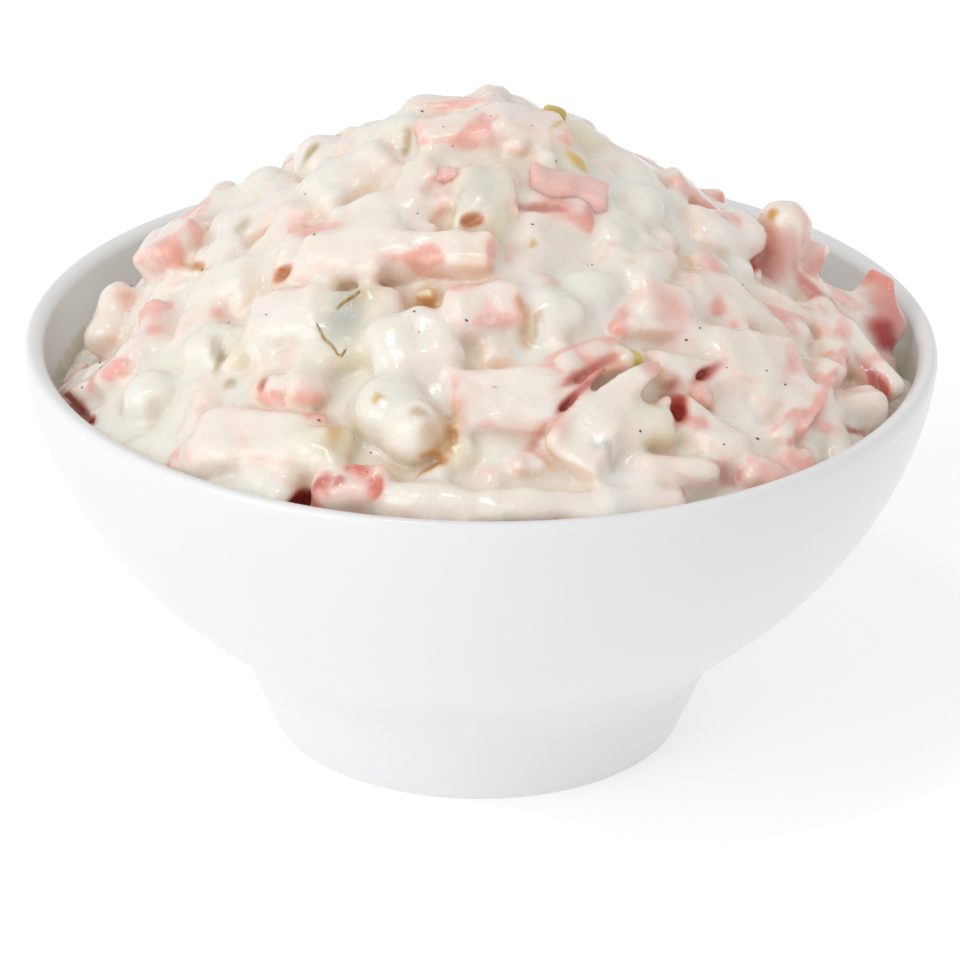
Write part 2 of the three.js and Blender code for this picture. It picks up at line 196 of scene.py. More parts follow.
# The small bits between the pieces
SCRAP_DRAWS = 620
SCRAP_REACH = 50.0
SCRAP_SALT = 11
SCRAP_LENGTHS = (1.8, 5.5)
SCRAP_WIDTHS = (0.35, 0.7)
SCRAP_RISE = 28
SCRAP_LEAN = 30
SCRAP_PROUD = (0.0, 0.75)
SCRAP_FILMS = (0.12, 0.55)
SCRAP_OVERLAP = 0.6
WIDEST_SCRAP = 2.8
THINNEST_SCRAP = 1.3

# Shares of the small bits, added up, that are sausage and gherkin. The rest are bare mayonnaise.
SCRAP_SAUSAGE = 0.76
SCRAP_GHERKIN = 0.82

# The most triangles that one piece may have
MOST_TRIANGLES = 190000


def length_property(name, description, default):
    """A size in metres that a user may change."""
    return FloatProperty(
        name=name, description=description, default=default, unit="LENGTH", subtype="DISTANCE")


def colour_property(name, description, default):
    """A colour that a user may change."""
    return FloatVectorProperty(
        name=name, description=description, default=default, subtype="COLOR", size=3, min=0, max=1)


class SaladBowlSizes(bpy.types.PropertyGroup):
    """Sizes of the porcelain bowl."""
    rim_radius: length_property("Rim radius", "Outer radius of the rim", 0.055)
    rim_height: length_property("Rim height", "Height of the rim over the table", 0.0505)
    wall: length_property("Wall", "Thickness of the wall at the rim", 0.0024)
    foot_radius: length_property("Foot radius", "Radius of the foot where it stands", 0.0252)
    foot_height: length_property("Foot height", "Height of the foot's cone", 0.012)
    sides: IntProperty(name="Sides", description="Steps round the bowl", default=224, min=24)


class SaladHeapSizes(bpy.types.PropertyGroup):
    """Sizes of the heap and of the dressing on it."""
    cone_top: length_property("Cone top", "Height that the heap's slopes rise to", 0.0825)
    cone_slope: FloatProperty(
        name="Slope", description="Fall of the heap for each unit outwards", default=0.665)
    cone_skew: FloatProperty(
        name="Skew", description="How much steeper the right side is", default=0.03)
    plateau: length_property("Plateau", "Height of the heap's flattened top", 0.078)
    edge_fall: length_property("Edge fall", "How far the back edge falls from the wall", 0.0075)
    sink: length_property("Sink", "How far the dressing lies under the mean surface", 0.0011)
    step: length_property("Mesh step", "Size of the mesh's cells", 0.0004)
    seed: IntProperty(
        name="Seed", description="Seed of the pieces that fill the back", default=2718)


class SaladFinish(bpy.types.PropertyGroup):
    """Colours of the salad, the bowl and the floor."""
    dressing: colour_property("Mayonnaise", "Colour of the thick dressing", (0.80, 0.772, 0.695))
    sausage: colour_property("Sausage", "Colour of the bare sausage", (0.815, 0.46, 0.395))
    sausage_red: colour_property("Red sausage", "Colour of the reddest sausage", (0.68, 0.20, 0.145))
    # Painted dark red shadow at the bottom of hollows and low under pieces
    sausage_red_shadow: colour_property("Deep hollow", "Colour at the bottom of a hollow", (0.40, 0.025, 0.02))
    pea: colour_property("Pea", "Colour of a bare pea", (0.40, 0.29, 0.10))
    gherkin: colour_property("Gherkin", "Colour of a bare bit of gherkin", (0.55, 0.42, 0.09))
    # Painted warm shade in the gaps, and the amber of a few yellow bits
    amber: colour_property("Amber", "Colour of the juice in a gap", (0.56, 0.27, 0.06))
    stem: colour_property("Herb stem", "Colour of the herb stems", (0.52, 0.35, 0.10))
    pepper: colour_property("Pepper", "Colour of the pepper specks", (0.09, 0.05, 0.03))
    porcelain: colour_property("Porcelain", "Colour of the glazed bowl", (0.775, 0.782, 0.787))
    floor: colour_property("Floor", "Colour of the floor", (0.60, 0.60, 0.605))


def mix(a, b, share):
    return a + (b - a) * share


def smoothstep(value, low, high):
    share = np.clip((value - low) / (high - low), 0, 1)
    return share * share * (3 - 2 * share)


def soft_min(a, b, band):
    """The smaller of two values, eased into each other over a band."""
    share = np.clip(0.5 + 0.5 * (b - a) / band, 0, 1)
    return mix(b, a, share) - band * share * (1 - share)


def soft_max(a, b, band):
    return -soft_min(-a, -b, band)


def millimetres(metres):
    return metres / METRES


def bowl_size(name):
    """One of the bowl's sizes, in millimetres."""
    return millimetres(getattr(bpy.context.scene.salad_bowl, name))


def heap_size(name):
    """One of the heap's sizes, in millimetres."""
    return millimetres(getattr(bpy.context.scene.salad_heap, name))


# The bowl's section
BELLY_DEPTH = 48
BELLY_POWER = 1.78
WELL_POWER = 1.9
WELL_FLOOR = 8
FOOT_TOP_RADIUS = 30.2
FOOT_FILLET = 4.5
FOOT_RING = 4
FOOT_EDGE = 0.6
RECESS_DEPTH = 4.5
LIP_DROP = 1.3
LIP_PEAK_INSET = 0.8

# Steps of the section along its stretches, and how they crowd towards the well's middle
INNER_STEPS = 60
INNER_CROWDING = 1.7
LIP_STEPS = 9
OUTER_STEPS = 64
EDGE_STEPS = 5
RECESS_STEPS = 4


def belly_radius(z, rim, depth, power):
    """Radius at a height of a belly that opens upwards to the rim as a superellipse."""
    down = np.clip((bowl_size("rim_height") - z) / depth, 0, 1)
    return rim * (1 - down ** power) ** (1 / power)


def outer_radius(z):
    foot = mix(bowl_size("foot_radius"), FOOT_TOP_RADIUS, z / bowl_size("foot_height"))
    belly = belly_radius(z, bowl_size("rim_radius"), BELLY_DEPTH, BELLY_POWER)
    return soft_max(belly, foot, FOOT_FILLET)


def inner_radius(z, clearance=0.0):
    depth = bowl_size("rim_height") - WELL_FLOOR - clearance
    rim = bowl_size("rim_radius") - bowl_size("wall") - clearance
    return belly_radius(z, rim, depth, WELL_POWER)


def heap_top(x, y):
    """Height of the heap's mean surface over a point of the plan."""
    sizes = bpy.context.scene.salad_heap
    r = np.hypot(x, y)
    cone = millimetres(sizes.cone_top) - sizes.cone_slope * r - sizes.cone_skew * x
    back = smoothstep((y - EDGE_SKEW * x) / np.maximum(r, TINY), *BACK_RANGE)
    fall = heap_size("edge_fall") * back * smoothstep(r, EDGE_START, EDGE_END)
    return soft_min(heap_size("plateau"), cone, PLATEAU_EASE) - fall


def waves(x, y):
    """Slow waves that keep the mean surface from being even."""
    return 0.5 * np.sin(0.31 * x + 1.1) * np.cos(0.27 * y - 0.4) + 0.35 * np.sin(0.43 * (x + y))


def heap_normal(x, y):
    """Which way the heap's mean surface faces over a point of the plan."""
    dx = (heap_top(x + 1, y) - heap_top(x - 1, y)) / 2
    dy = (heap_top(x, y + 1) - heap_top(x, y - 1)) / 2
    normal = np.array([-dx, -dy, 1.0])
    return normal / np.linalg.norm(normal)


# Kinds of piece, with the part's own values. film is how much dressing lies on the piece, and none
# or less than none leaves it mostly bare. slant thins it towards one end, ease is the width of the
# fillet round the piece, deep is how red the piece is, and edge is how much its upper edges show.
# shift moves a piece from the part's own place without changing what is spaced from that place.
PIECE = {
    "turn": 0, "rise": 0, "lean": 0, "long": 10, "wide": 5, "thick": 4.5, "round": 0.8,
    "proud": PROUD, "bend": 0, "taper": 1, "plumb": False, "film": 0.45, "ease": 1.7,
    "slant": 0.08, "deep": 0.15, "edge": 0.4, "shift": (0, 0),
}


def sliver(at, turn, long, **more):
    """A thin edge of sausage that shows as a line."""
    thin = {"wide": 1.1, "thick": 2.4, "round": 0.4, "proud": 1.6, "film": 0.1, "ease": 0.7}
    return {**PIECE, "kind": "sausage", "at": at, "turn": turn, "long": long, "deep": 0.5,
            **thin, **more}


def strip(at, turn, long, **more):
    """A strip or stick of sausage."""
    return {**PIECE, "kind": "sausage", "at": at, "turn": turn, "long": long, **more}


def slab(at, turn, long, wide, **more):
    """A flat square cut of sausage."""
    flat = {"wide": wide, "thick": 4, "round": 1.2}
    return {**PIECE, "kind": "sausage", "at": at, "turn": turn, "long": long, **flat, **more}


def gherkin(at, turn, long, wide, **more):
    flat = {"wide": wide, "thick": 4, "round": 1.4}
    return {**PIECE, "kind": "gherkin", "at": at, "turn": turn, "long": long, **flat, **more}


def pea(at, proud=PROUD, radius=PEA_RADIUS, **more):
    across = 2 * radius
    ball = {"long": across, "wide": across, "thick": across, "proud": proud, "ease": 1.2}
    return {**PIECE, "kind": "pea", "at": at, **ball, **more}


# The pieces that the photograph shows, from the crest down the front to the rim.
SHOWN_PIECES = [
    # The crest and the two slopes seen against the background
    strip([-4, 5.5], -8, 12, thick=4, proud=2.0, film=0.36, shift=(0, -0.8)),
    slab([-3, -4], 7, 11, 6.5, proud=1.9, film=0.32, edge=0.5),
    slab([3, -2], 12, 9, 7, thick=5, round=0.8, proud=2.1, film=0.3, ease=0.9, shift=(2.5, 0.3)),
    pea([-10, 1.5], 1.3, 4.2),
    strip([-9, -9.5], -95, 9, round=1.6, proud=1.4, film=0.9),
    strip([-14, 5], 0, 9, thick=4, proud=0.9, film=0.34),
    pea([-19.5, 9], 2.8, 4, film=0.15),
    pea([-25.5, 11], 2.1, 3.8, shift=(-1, 0)),
    pea([-30, 12], 1.9, 3.8, shift=(-1, 0)),
    gherkin([7.6, 5], 20, 2.8, 2.4, thick=3.5, round=1.0, proud=1.9, film=-0.1),
    gherkin([11.5, 5], -30, 7, 6, thick=5, round=2, proud=1.0, film=0.1),
    gherkin([10.5, -5], 20, 4, 3, thick=3, proud=0.9, film=0.15),
    strip([15, 4.6], 0, 5, wide=3.6, thick=4, rise=60, proud=0.7, film=0.2),
    strip([20, 5], 20, 10, proud=1),
    strip([26, 4], 10, 11, wide=5.5, taper=0.5, proud=2.7, film=0.06, deep=0.2, ease=1.0),
    strip([10.5, -10], 10, 9.5, wide=3.2, thick=3, round=0.6, rise=9, proud=1.9, film=0.03, deep=0.15,
          shift=(-0.6, 0.2)),
    strip([9, -13], 13, 8, wide=3.5, thick=3, rise=10, proud=1.0, film=0.12, deep=0.3, ease=1.2),
    strip([-20.5, -9], -40, 5, wide=4, thick=3, proud=0.9, film=0.2),
    strip([-10, -20], -14, 23, wide=5.2, proud=2.0, film=0.55, edge=1.1, round=0.9, ease=1.0, slant=0.0),
    strip([-5, -11.5], -7, 5, wide=2.4, thick=3, round=0.6, proud=1.1, film=-0.1, deep=0.6),
    gherkin([-0.3, -14.5], -96, 10, 7.5, thick=6, round=2.6, proud=2, film=0.6),
    # The right slope
    pea([19, -5], 1.8, 3.9),
    strip([20, -14.3], 29, 6, wide=3, thick=3, proud=1.6, film=0.06, ease=1.0),
    strip([28, -1], 34, 12, wide=6, thick=6, round=2.9, rise=13, proud=4.4, film=0.4, ease=0.9),
    strip([26.5, -10], -49, 5, wide=4, thick=3, proud=1.4, film=0.06, ease=1.0),
    strip([36.5, 4], 82, 12, wide=6, thick=6, rise=80, round=2.2, proud=8.7,
          plumb=True, film=0.4, ease=1.4, edge=0.1, slant=-0.3, deep=0.3),
    strip([39.5, 5], 82, 8, wide=4, thick=4, rise=75, proud=6, plumb=True, film=0.15),
    strip([41.5, 2], 10, 8, wide=5, rise=14, round=0.7, proud=2.8, film=0.1, ease=0.8, edge=0.5),
    sliver([38.5, -0.5], -32, 8, wide=1.8, proud=1.9, film=0.04, deep=0.8, ease=1.2, shift=(1.3, 0)),
    slab([47.8, 6.2], 44, 14, 8, thick=3.0, rise=46, bend=2.4, taper=0.7, proud=6.6, round=1.4,
         plumb=True, film=0.3, deep=0.55, ease=3.4, edge=0.2, shift=(-1.2, -0.6)),
    strip([44.5, 1.5], 60, 8, wide=3.5, thick=3, proud=1.6, film=0.2, deep=0.3),
    strip([41, -7], -85, 11, wide=4.2, thick=4, proud=2.3, film=0.3, edge=0.45, ease=1.4),
    strip([40, -17], -103, 14, wide=3.6, thick=4, bend=-0.5, proud=2.3, film=0.3, edge=0.5,
          ease=1.4),
    strip([36, -27.5], -112, 11, wide=3.4, thick=4, proud=2.0, film=0.42, edge=0.4, ease=1.6),
    strip([33, -12.3], 23, 15, wide=5, thick=4, proud=1.3, film=0.08),
    strip([37, -7.5], 20, 7, wide=2.5, thick=2.5, proud=1.8, film=0.06),
    slab([32, -22], 24, 13, 9, proud=2.4, film=0.4, round=0.9, edge=0.5, ease=1.0),
    slab([45, -11], -48, 12, 5, thick=3.4, lean=35, proud=3.4, film=0.9, edge=0.0),
    strip([45, -20], 20, 9, round=0.6, proud=2.9, plumb=True, film=0.14, ease=0.7, edge=0.6),
    strip([39.5, -25.5], -90, 5, wide=4, thick=3.5, proud=1.4, film=0.06),
    strip([36, -34], 41, 5.5, wide=4, thick=3.5, proud=1.4, film=0.16),
    strip([31.5, -37.5], 17, 6, wide=5, thick=4, round=1.4, proud=2.2, film=0.14, ease=1.0),
    strip([21, -20.5], 12, 7, wide=5.5, thick=4, round=0.6, proud=2.2, film=0.08, deep=0.3, ease=0.9),
    strip([26, -21.5], 5, 6, wide=4.5, thick=4, proud=1, film=0.2),
    # The middle of the front
    slab([3.5, -37], 8, 16, 8.5, proud=2, film=0.5, round=1.0, edge=0.6, ease=1.0),
    strip([12.5, -31.5], 30, 11, thick=4, proud=1.5, film=0.12, ease=1.2, edge=0.6),
    slab([14.3, -36.8], 55, 17, 7, thick=3.2, taper=0.16, rise=8, lean=-12, proud=4.4, round=0.9,
         film=0.4, edge=0.55, ease=0.6, bend=-0.5),
    gherkin([18.4, -36.8], 18, 7.5, 5.5, thick=5, round=2.2, proud=2.8, film=0.55),
    strip([25.3, -34], -26, 11, thick=4),
    gherkin([17.4, -29.6], 15, 2.4, 2, thick=2.4, proud=2, film=0.0),
    pea([14.5, -38.7], 1.2, 3.8, film=0.3),
    strip([7.5, -48.3], 5, 17, wide=5.4, thick=5, round=2.2, proud=2, film=0.5),
    strip([18.5, -45.8], 18, 11, round=1.8, film=0.5),
    strip([-5.5, -48.6], -4, 11.5, wide=5, thick=5, round=2.2, proud=1.8, film=0.5),
    strip([22, -41], 12, 10, round=1.8, film=0.6),
    pea([-10.6, -37.5], 3.3, 4.35, film=0.3, ease=0.7),
    pea([-7.7, -40], 4.0, 4.0, film=0.3, ease=0.6, shift=(0.5, -0.5)),
    gherkin([-2.9, -42.8], 41, 4, 3, thick=3, proud=0.7, film=0.1),
    slab([-7.8, -31], 10, 10, 8.5, thick=6, round=2.8, proud=2.4, film=0.9),
    strip([0.5, -27.3], 7, 9, wide=5.5, thick=5, proud=2.2, film=0.24, ease=1.2),
    pea([8.7, -26.5], 1.8, 4.1),
    pea([13.1, -21.4], 1.4, 3.8),
    # The left slope and its edge
    strip([-19.7, -32.6], -80, 7, wide=4.6, thick=4.6, rise=35, round=2, proud=2.8, film=0.5,
          slant=0.1, ease=1.0),
    strip([-24, -32.7], -48, 7, wide=3, thick=3, proud=1.3, film=0.1, ease=1.2),
    gherkin([-14.9, -27], -95, 10, 6.5, proud=1.2, round=1.8, film=0.3),
    slab([-22.8, -23.4], -13, 11, 8, thick=5, round=2.4, film=0.7),
    slab([-25.5, -38.5], -15, 16, 8.5, thick=5, round=1.6, proud=2.2, film=0.32, ease=1.2),
    gherkin([-18.2, -41.6], -8, 7, 6, thick=5.5, round=2.4, proud=3.2, film=0.34, ease=1.0,
            shift=(0, 0.5)),
    strip([-15.2, -45.8], -10, 9, wide=5, thick=5, round=0.9, proud=2.6, film=0.1, deep=1.0,
          shift=(0.6, -0.3)),
    strip([-36.8, -0.5], -44, 9, wide=7, thick=6, round=0.9, proud=3.9, film=0.26, edge=0.6, ease=1.2),
    strip([-38.5, -12], -88, 9, wide=4, thick=4, proud=1.4, film=0.05),
    slab([-43.3, 0], 70, 9, 7, thick=6, round=2.6, proud=3.6, film=0.5),
    strip([-33.3, -17.6], -20, 6.5, wide=4, thick=3, proud=1.2, film=0.05, deep=0.3),
    pea([-29.6, -1.4], 2, 3.9),
    strip([-31, -7], -41, 8, round=1.8, film=0.5),
    pea([-31.2, -23], 2, 4),
    gherkin([-28, -26.5], 40, 3.4, 2.6, thick=2.6, proud=1.2, film=0.1),
    pea([-38.8, -25.4], 1.6, 4),
    slab([-44.6, -14.5], -48, 15, 8, thick=4.5, round=1.8, proud=2.4, film=0.4, edge=0.5),
    strip([-48.4, -3], 80, 6, wide=3, thick=3, proud=1.8, film=0.0),
    strip([-33.2, -38.6], -34, 6, wide=3.5, thick=3, proud=1, film=0.15),
    strip([-32, -32.7], 70, 5, wide=3, thick=3, proud=1, film=0.2),
]


# More pieces that the part leaves to the dressing's surface
SMALL_PIECES = [
    sliver([10.9, -36.9], 58, 13, wide=1.6, proud=2.2, film=0.04, deep=0.8, bend=0.5, ease=0.8),
    strip([45.6, 2.6], 42, 10, wide=6, thick=4, rise=20, proud=2.8, plumb=True, film=0.3, deep=0.5,
          ease=3.4),
    slab([33.9, -25.2], 20, 8, 6, round=1.4, proud=1.7, film=0.4, edge=0.5, ease=1.2),
    sliver([41.2, -11.5], -92, 13, wide=1.5, proud=2.7, film=0.05, deep=0.25),
    sliver([38.4, -23.5], -108, 14, wide=1.3, proud=2.6, film=0.06, deep=0.2),
    strip([24.8, -28.1], -60, 6, wide=2.6, thick=2.4, round=0.5, proud=1.5, film=0.04, deep=0.6, ease=0.7),
    strip([17.4, -23.6], 65, 6, wide=2.4, thick=2.4, round=0.5, proud=1.3, film=0.06, deep=0.4, ease=0.7),
    sliver([2.4, -13.4], -70, 7, wide=1.0, proud=1.2, film=0.08, deep=0.3),
    strip([29.5, -18.4], 75, 6, wide=2.6, thick=2.4, round=0.6, proud=1.5, film=0.05, deep=0.4, ease=0.8),
    strip([-23.4, -45.2], 72, 6, wide=2.6, thick=3, round=1.3, proud=1.7, film=0.9, ease=1.4),
    slab([-15.5, -6.8], 30, 10, 7, round=2, proud=1.8, film=0.95),
    slab([-12.8, -14.6], -70, 8, 6, round=2, proud=1.7, film=0.9),
    slab([-26.3, -4.6], 10, 9, 7, round=2, proud=1.6, film=0.9),
    slab([-30.5, -13.6], -20, 9, 7, round=2, proud=1.6, film=0.9),
    strip([7.5, -22.6], 30, 2, wide=1.5, thick=1.8, round=0.4, proud=1.0, film=0.04, deep=0.5, ease=0.8),
    sliver([21.8, -23.2], 25, 9, wide=0.9, proud=1.4, film=0.08, deep=0.3),
    sliver([-27.5, -11.8], 35, 6, wide=0.9, proud=1.0, film=0.1, deep=0.3),
    slab([27.5, -14.8], 30, 9, 6, round=1.2, proud=1.7, film=0.34, edge=0.7),
    slab([16.5, -17.4], -20, 8, 6, round=1.4, proud=1.6, film=0.5, edge=0.5),
    strip([23.5, -27.5], 14, 9, wide=4, thick=3, round=1.0, proud=1.6, film=0.3, edge=0.7, ease=1.2),
]


class Draws:
    """Seeded draws between two numbers, the same as those of the part's source."""

    def __init__(self, seed):
        self.state = seed

    def __call__(self, low, high):
        self.state = (self.state * DRAW_FACTOR + DRAW_STEP) % DRAW_SPAN
        return low + (high - low) * self.state / DRAW_SPAN


def back_pieces(shown, seed):
    """Pieces that fill what the photograph doesn't show, by the part's own rule."""
    draw = Draws(seed)
    coat = Draws(seed + 1)
    taken = [piece["at"] for piece in shown]
    made = []
    for _ in range(DRAWS):
        angle = draw(0, 2 * math.pi)
        r = PIECE_REACH * math.sqrt(draw(0, 1))
        at = [r * math.cos(angle), r * math.sin(angle)]
        turn = draw(0, 180)
        size = draw(0, 1)
        kind = draw(0, 1)
        proud = draw(*PIECE_PROUD)
        rise = draw(-PIECE_RISE, PIECE_RISE)
        if any(math.hypot(p[0] - at[0], p[1] - at[1]) < PIECE_SPACING for p in taken):
            continue
        taken.append(at)
        bend = draw(*PIECE_BEND)
        film = coat(*(FRONT_FILMS if at[1] < FRONT_EDGE else BACK_FILMS))
        tint = {"film": film, "deep": coat(0, MOST_DEEP), "slant": coat(-MOST_SLANT, MOST_SLANT)}
        if kind < PEA_SHARE:
            made.append(pea(at, proud, mix(*PEA_RADII, size)))
        elif kind < GHERKIN_SHARE:
            wide = mix(*GHERKIN_WIDTHS, size)
            made.append(gherkin(at, turn, mix(*GHERKIN_LENGTHS, size), wide, proud=proud, **tint))
        elif kind < SLAB_SHARE:
            wide = mix(*SLAB_WIDTHS, size)
            made.append(slab(at, turn, mix(*SLAB_LENGTHS, size), wide, proud=proud, **tint))
        else:
            pose = {"wide": mix(*STRIP_WIDTHS, size), "proud": proud, "rise": rise, "bend": bend}
            made.append(strip(at, turn, mix(*STRIP_LENGTHS, size), **pose, **tint))
    return made


def turned(axis, angle):
    return np.array(Matrix.Rotation(math.radians(angle), 3, axis))


def piece_frame(piece):
    """The piece's own axes as columns, and its middle."""
    x = piece["at"][0] + piece["shift"][0]
    y = piece["at"][1] + piece["shift"][1]
    up = np.array([0.0, 0.0, 1.0]) if piece["plumb"] else heap_normal(x, y)
    turn = math.radians(piece["turn"])
    along = np.array([math.cos(turn), math.sin(turn), 0.0])
    along[2] = -along.dot(up) / up[2]
    along /= np.linalg.norm(along)
    axes = np.column_stack([along, np.cross(up, along), up])
    axes = axes @ turned("Y", -piece["rise"]) @ turned("X", piece["lean"])
    standing = abs(math.sin(math.radians(piece["rise"])))
    half = mix(piece["thick"], piece["long"], standing) / 2
    middle = np.array([x, y, float(heap_top(x, y))]) + up * (piece["proud"] - half)
    return axes, middle


def block_points(piece):
    """The corners of the part's own block, which say how far it is moved in from the wall."""
    least = min(piece["wide"], piece["thick"], piece["long"])
    chamfer = min(CHAMFER_SHARE * piece["round"], CHAMFER_LIMIT * least)
    half = piece["long"] / 2
    points = []
    for x, inset in ((-half, chamfer), (chamfer - half, 0), (half - chamfer, 0), (half, chamfer)):
        share = mix(1, piece["taper"], (x + half) / piece["long"])
        w = piece["wide"] / 2 * share - inset
        t = piece["thick"] / 2 * share - inset
        lift = piece["bend"] * (x / half) ** 2
        cut = chamfer * share
        ring = [[w - cut, t], [cut - w, t], [-w, -t], [w, -t]]
        if piece["long"] >= LARGE:
            ring += [[w, t - cut], [-w, t - cut]]
        points += [[x, a, b + lift] for a, b in ring]
    return np.array(points)


def ball_points(radius):
    """Points all over a ball."""
    k = np.arange(BALL_POINTS) + 0.5
    z = 1 - 2 * k / BALL_POINTS
    turn = math.pi * (1 + math.sqrt(5)) * k
    flat = np.sqrt(1 - z * z)
    return radius * np.column_stack([flat * np.cos(turn), flat * np.sin(turn), z])


def room_at(z):
    """How far out a point may lie: inside the wall, or inside the lip above the rim."""
    height = bowl_size("rim_height")
    inside = inner_radius(np.minimum(z, height), GAP)
    return np.where(z >= height + GAP, bowl_size("rim_radius") - GAP, inside)


def placed(piece):
    """The piece's axes and its middle, once it has been moved clear of the wall."""
    axes, middle = piece_frame(piece)
    if piece["kind"] == "pea":
        own = ball_points(PEA_SWELL * piece["long"] / 2)
    else:
        own = block_points(piece)
    for _ in range(WALL_TRIES):
        points = own @ axes.T + middle
        r = np.hypot(points[:, 0], points[:, 1])
        over = WALL_MARGIN * (r - room_at(points[:, 2]))
        worst = int(np.argmax(over))
        if over[worst] <= 0:
            break
        middle = middle.copy()
        middle[:2] -= points[worst, :2] / r[worst] * over[worst]
    return axes, middle


# Marks are places on the heap, each with a middle in plan, a heading, and half sizes along and
# across it. A mark thins the dressing or colours it, each by its share. Its red is painted dark red
# shadow, and its amber is painted warm shade in the gaps and amber on a few yellow bits; its pink,
# olive, yellow and grey are the salad's own colours. Where its place has a height too, it leaves
# what lies above and below it as it is.
MARK = {"bare": 0.0, "red": 0.0, "amber": 0.0, "olive": 0.0, "yellow": 0.0, "pink": 0.0, "grey": 0.0}


def mark(at, turn, long, wide, **shares):
    return {**MARK, "at": at, "turn": turn, "long": long, "wide": wide, **shares}


MARKS = [
    # Gaps tinted with painted warm amber shade
    mark([-6.4, -24.8, 64.6], 80, 2.8, 2.0, amber=0.85),
    mark([-0.8, -24.3, 69.9], 0, 2.0, 2.0, yellow=0.15),
    mark([-3.5, -42.2], 65, 3.4, 1.6, amber=1.0),
    mark([-5.0, -44.2], 30, 2.4, 1.0, amber=0.9),
    mark([5.0, -28.6], 70, 1.5, 1.1, amber=0.9),
    mark([-16.3, -41.9], 80, 3.2, 1.3, amber=0.9),
    mark([21.7, -44.5], 10, 1.8, 1.0, amber=0.25, red=0.1),
    mark([-4.9, -40.9], -40, 2.2, 1.2, amber=0.8),
    # Spots on the peas, and the grey slices of gherkin, with painted warm amber shade beside some
    mark([-9.05, -2.4], 90, 1.9, 0.7, olive=0.8),
    mark([-20.8, 6.4], 20, 1.3, 0.8, olive=0.8, bare=0.25),
    mark([-11.6, -39.7], 30, 0.6, 0.5, yellow=0.8, amber=0.3),
    mark([-6.9, -43.0], -10, 1.4, 0.7, amber=0.4, olive=0.45),
    mark([-28.4, -6.2], 80, 1.7, 0.9, olive=0.55),
    mark([-30.1, -26.0], 85, 2.1, 0.6, olive=0.8),
    mark([-28.8, -29.3], 30, 1.1, 0.7, olive=0.7),
    mark([-37.5, -28.6], 40, 1.2, 0.8, amber=0.2, olive=0.15),
    mark([-40.1, -30.8], 30, 1.6, 0.6, olive=0.2),
    mark([17.5, -8.5], 80, 2.0, 1.2, amber=0.12),
    mark([6.2, -28.9], 50, 1.3, 0.4, amber=0.5, olive=0.3),
    mark([13.8, -43.4], 5, 1.7, 0.7, grey=0.8),
    mark([-15.6, -26.8], -95, 4.4, 2.8, grey=1.0),
    mark([-0.4, -15.2], -96, 4.2, 2.6, grey=0.5),
    mark([-14.2, -25.2], 20, 1.6, 0.7, amber=0.5),
    # Specks of yellow
    mark([5.8, -18.4], 40, 0.6, 0.4, yellow=0.8),
    mark([24.5, -11.2], 0, 0.5, 0.5, yellow=0.5),
    mark([17.2, -18.1], 20, 0.7, 0.4, yellow=0.4),
    mark([17.9, -31.3], 40, 0.7, 0.6, yellow=0.8, bare=0.2),
    mark([10.9, -4.9], 0, 1.6, 0.9, amber=0.3, yellow=0.75),
    mark([8.9, -1.8], 68, 2.8, 0.4, yellow=0.9),
    # Patches where the sausage shows through, with painted dark red shadow low on some, and two yellow bits
    mark([-21.5, -12.5], -10, 3.0, 1.6, pink=0.35),
    mark([8.3, -10.5], 0, 3.4, 1.2, pink=0.3),
    mark([-4.5, -26.2], -10, 2.2, 1.0, pink=0.4),
    mark([34.7, 3.2, 64.8], 0, 0.75, 0.75, yellow=0.9, amber=0.95),
    mark([-16.2, -41.4], 80, 2.6, 1.7, yellow=0.3),
    mark([35.1, 1.1, 60.6], 0, 3.2, 3.2, pink=1.0),
    mark([33.9, 0.4, 59.4], 0, 2.6, 2.6, pink=1.0, red=0.3),
    mark([19.6, -32.6, 61.0], 75, 2.2, 1.6, red=0.3, pink=0.6),
    mark([-42.6, -0.6, 54.2], 0, 1.5, 1.5, pink=0.7, amber=0.4),
    mark([24.7, 1.7], 10, 3.4, 1.6, pink=0.8),
    mark([21.5, -22.1], 20, 2.6, 2.6, pink=0.7),
    mark([27.0, -11.3], -30, 2.0, 1.8, pink=0.55),
    mark([40.2, 3.2], 10, 3.0, 2.0, pink=0.75),
    mark([39.4, -0.4], -30, 2.8, 0.8, pink=0.8, red=0.4),
    mark([27.9, -39.4], 20, 2.4, 0.7, pink=0.9, red=0.25),
    mark([33.0, -38.8], 20, 2.4, 1.2, pink=0.7),
    mark([9.0, -40.4], 60, 2.6, 0.8, pink=0.8),
    mark([-17.8, -47.6], 0, 1.3, 0.9, pink=1.0, red=0.5),
    mark([-15.9, -48.0], 10, 0.9, 0.6, pink=1.0, red=0.35),
    mark([43.2, -8.6], -92, 3.4, 0.9, pink=0.7),
    mark([39.3, -25.6], -108, 3.0, 0.8, pink=0.6),
    mark([33.2, 0.2, 60.5], 0, 1.3, 1.3, pink=1.0, red=0.25),
    mark([50.0, 6.2, 53.6], 45, 4.6, 4.6, pink=1.0),
    mark([49.4, 3.0, 52.0], 0, 3.2, 3.2, pink=1.0, red=0.35),
    mark([48.6, 0.4, 50.4], 0, 2.6, 2.6, pink=1.0, red=0.95),
    mark([-19.9, -35.0, 57.6], 0, 1.4, 1.4, pink=0.6),
    mark([-41.8, 2.4], 20, 1.4, 0.9, pink=0.5, amber=0.4),
]

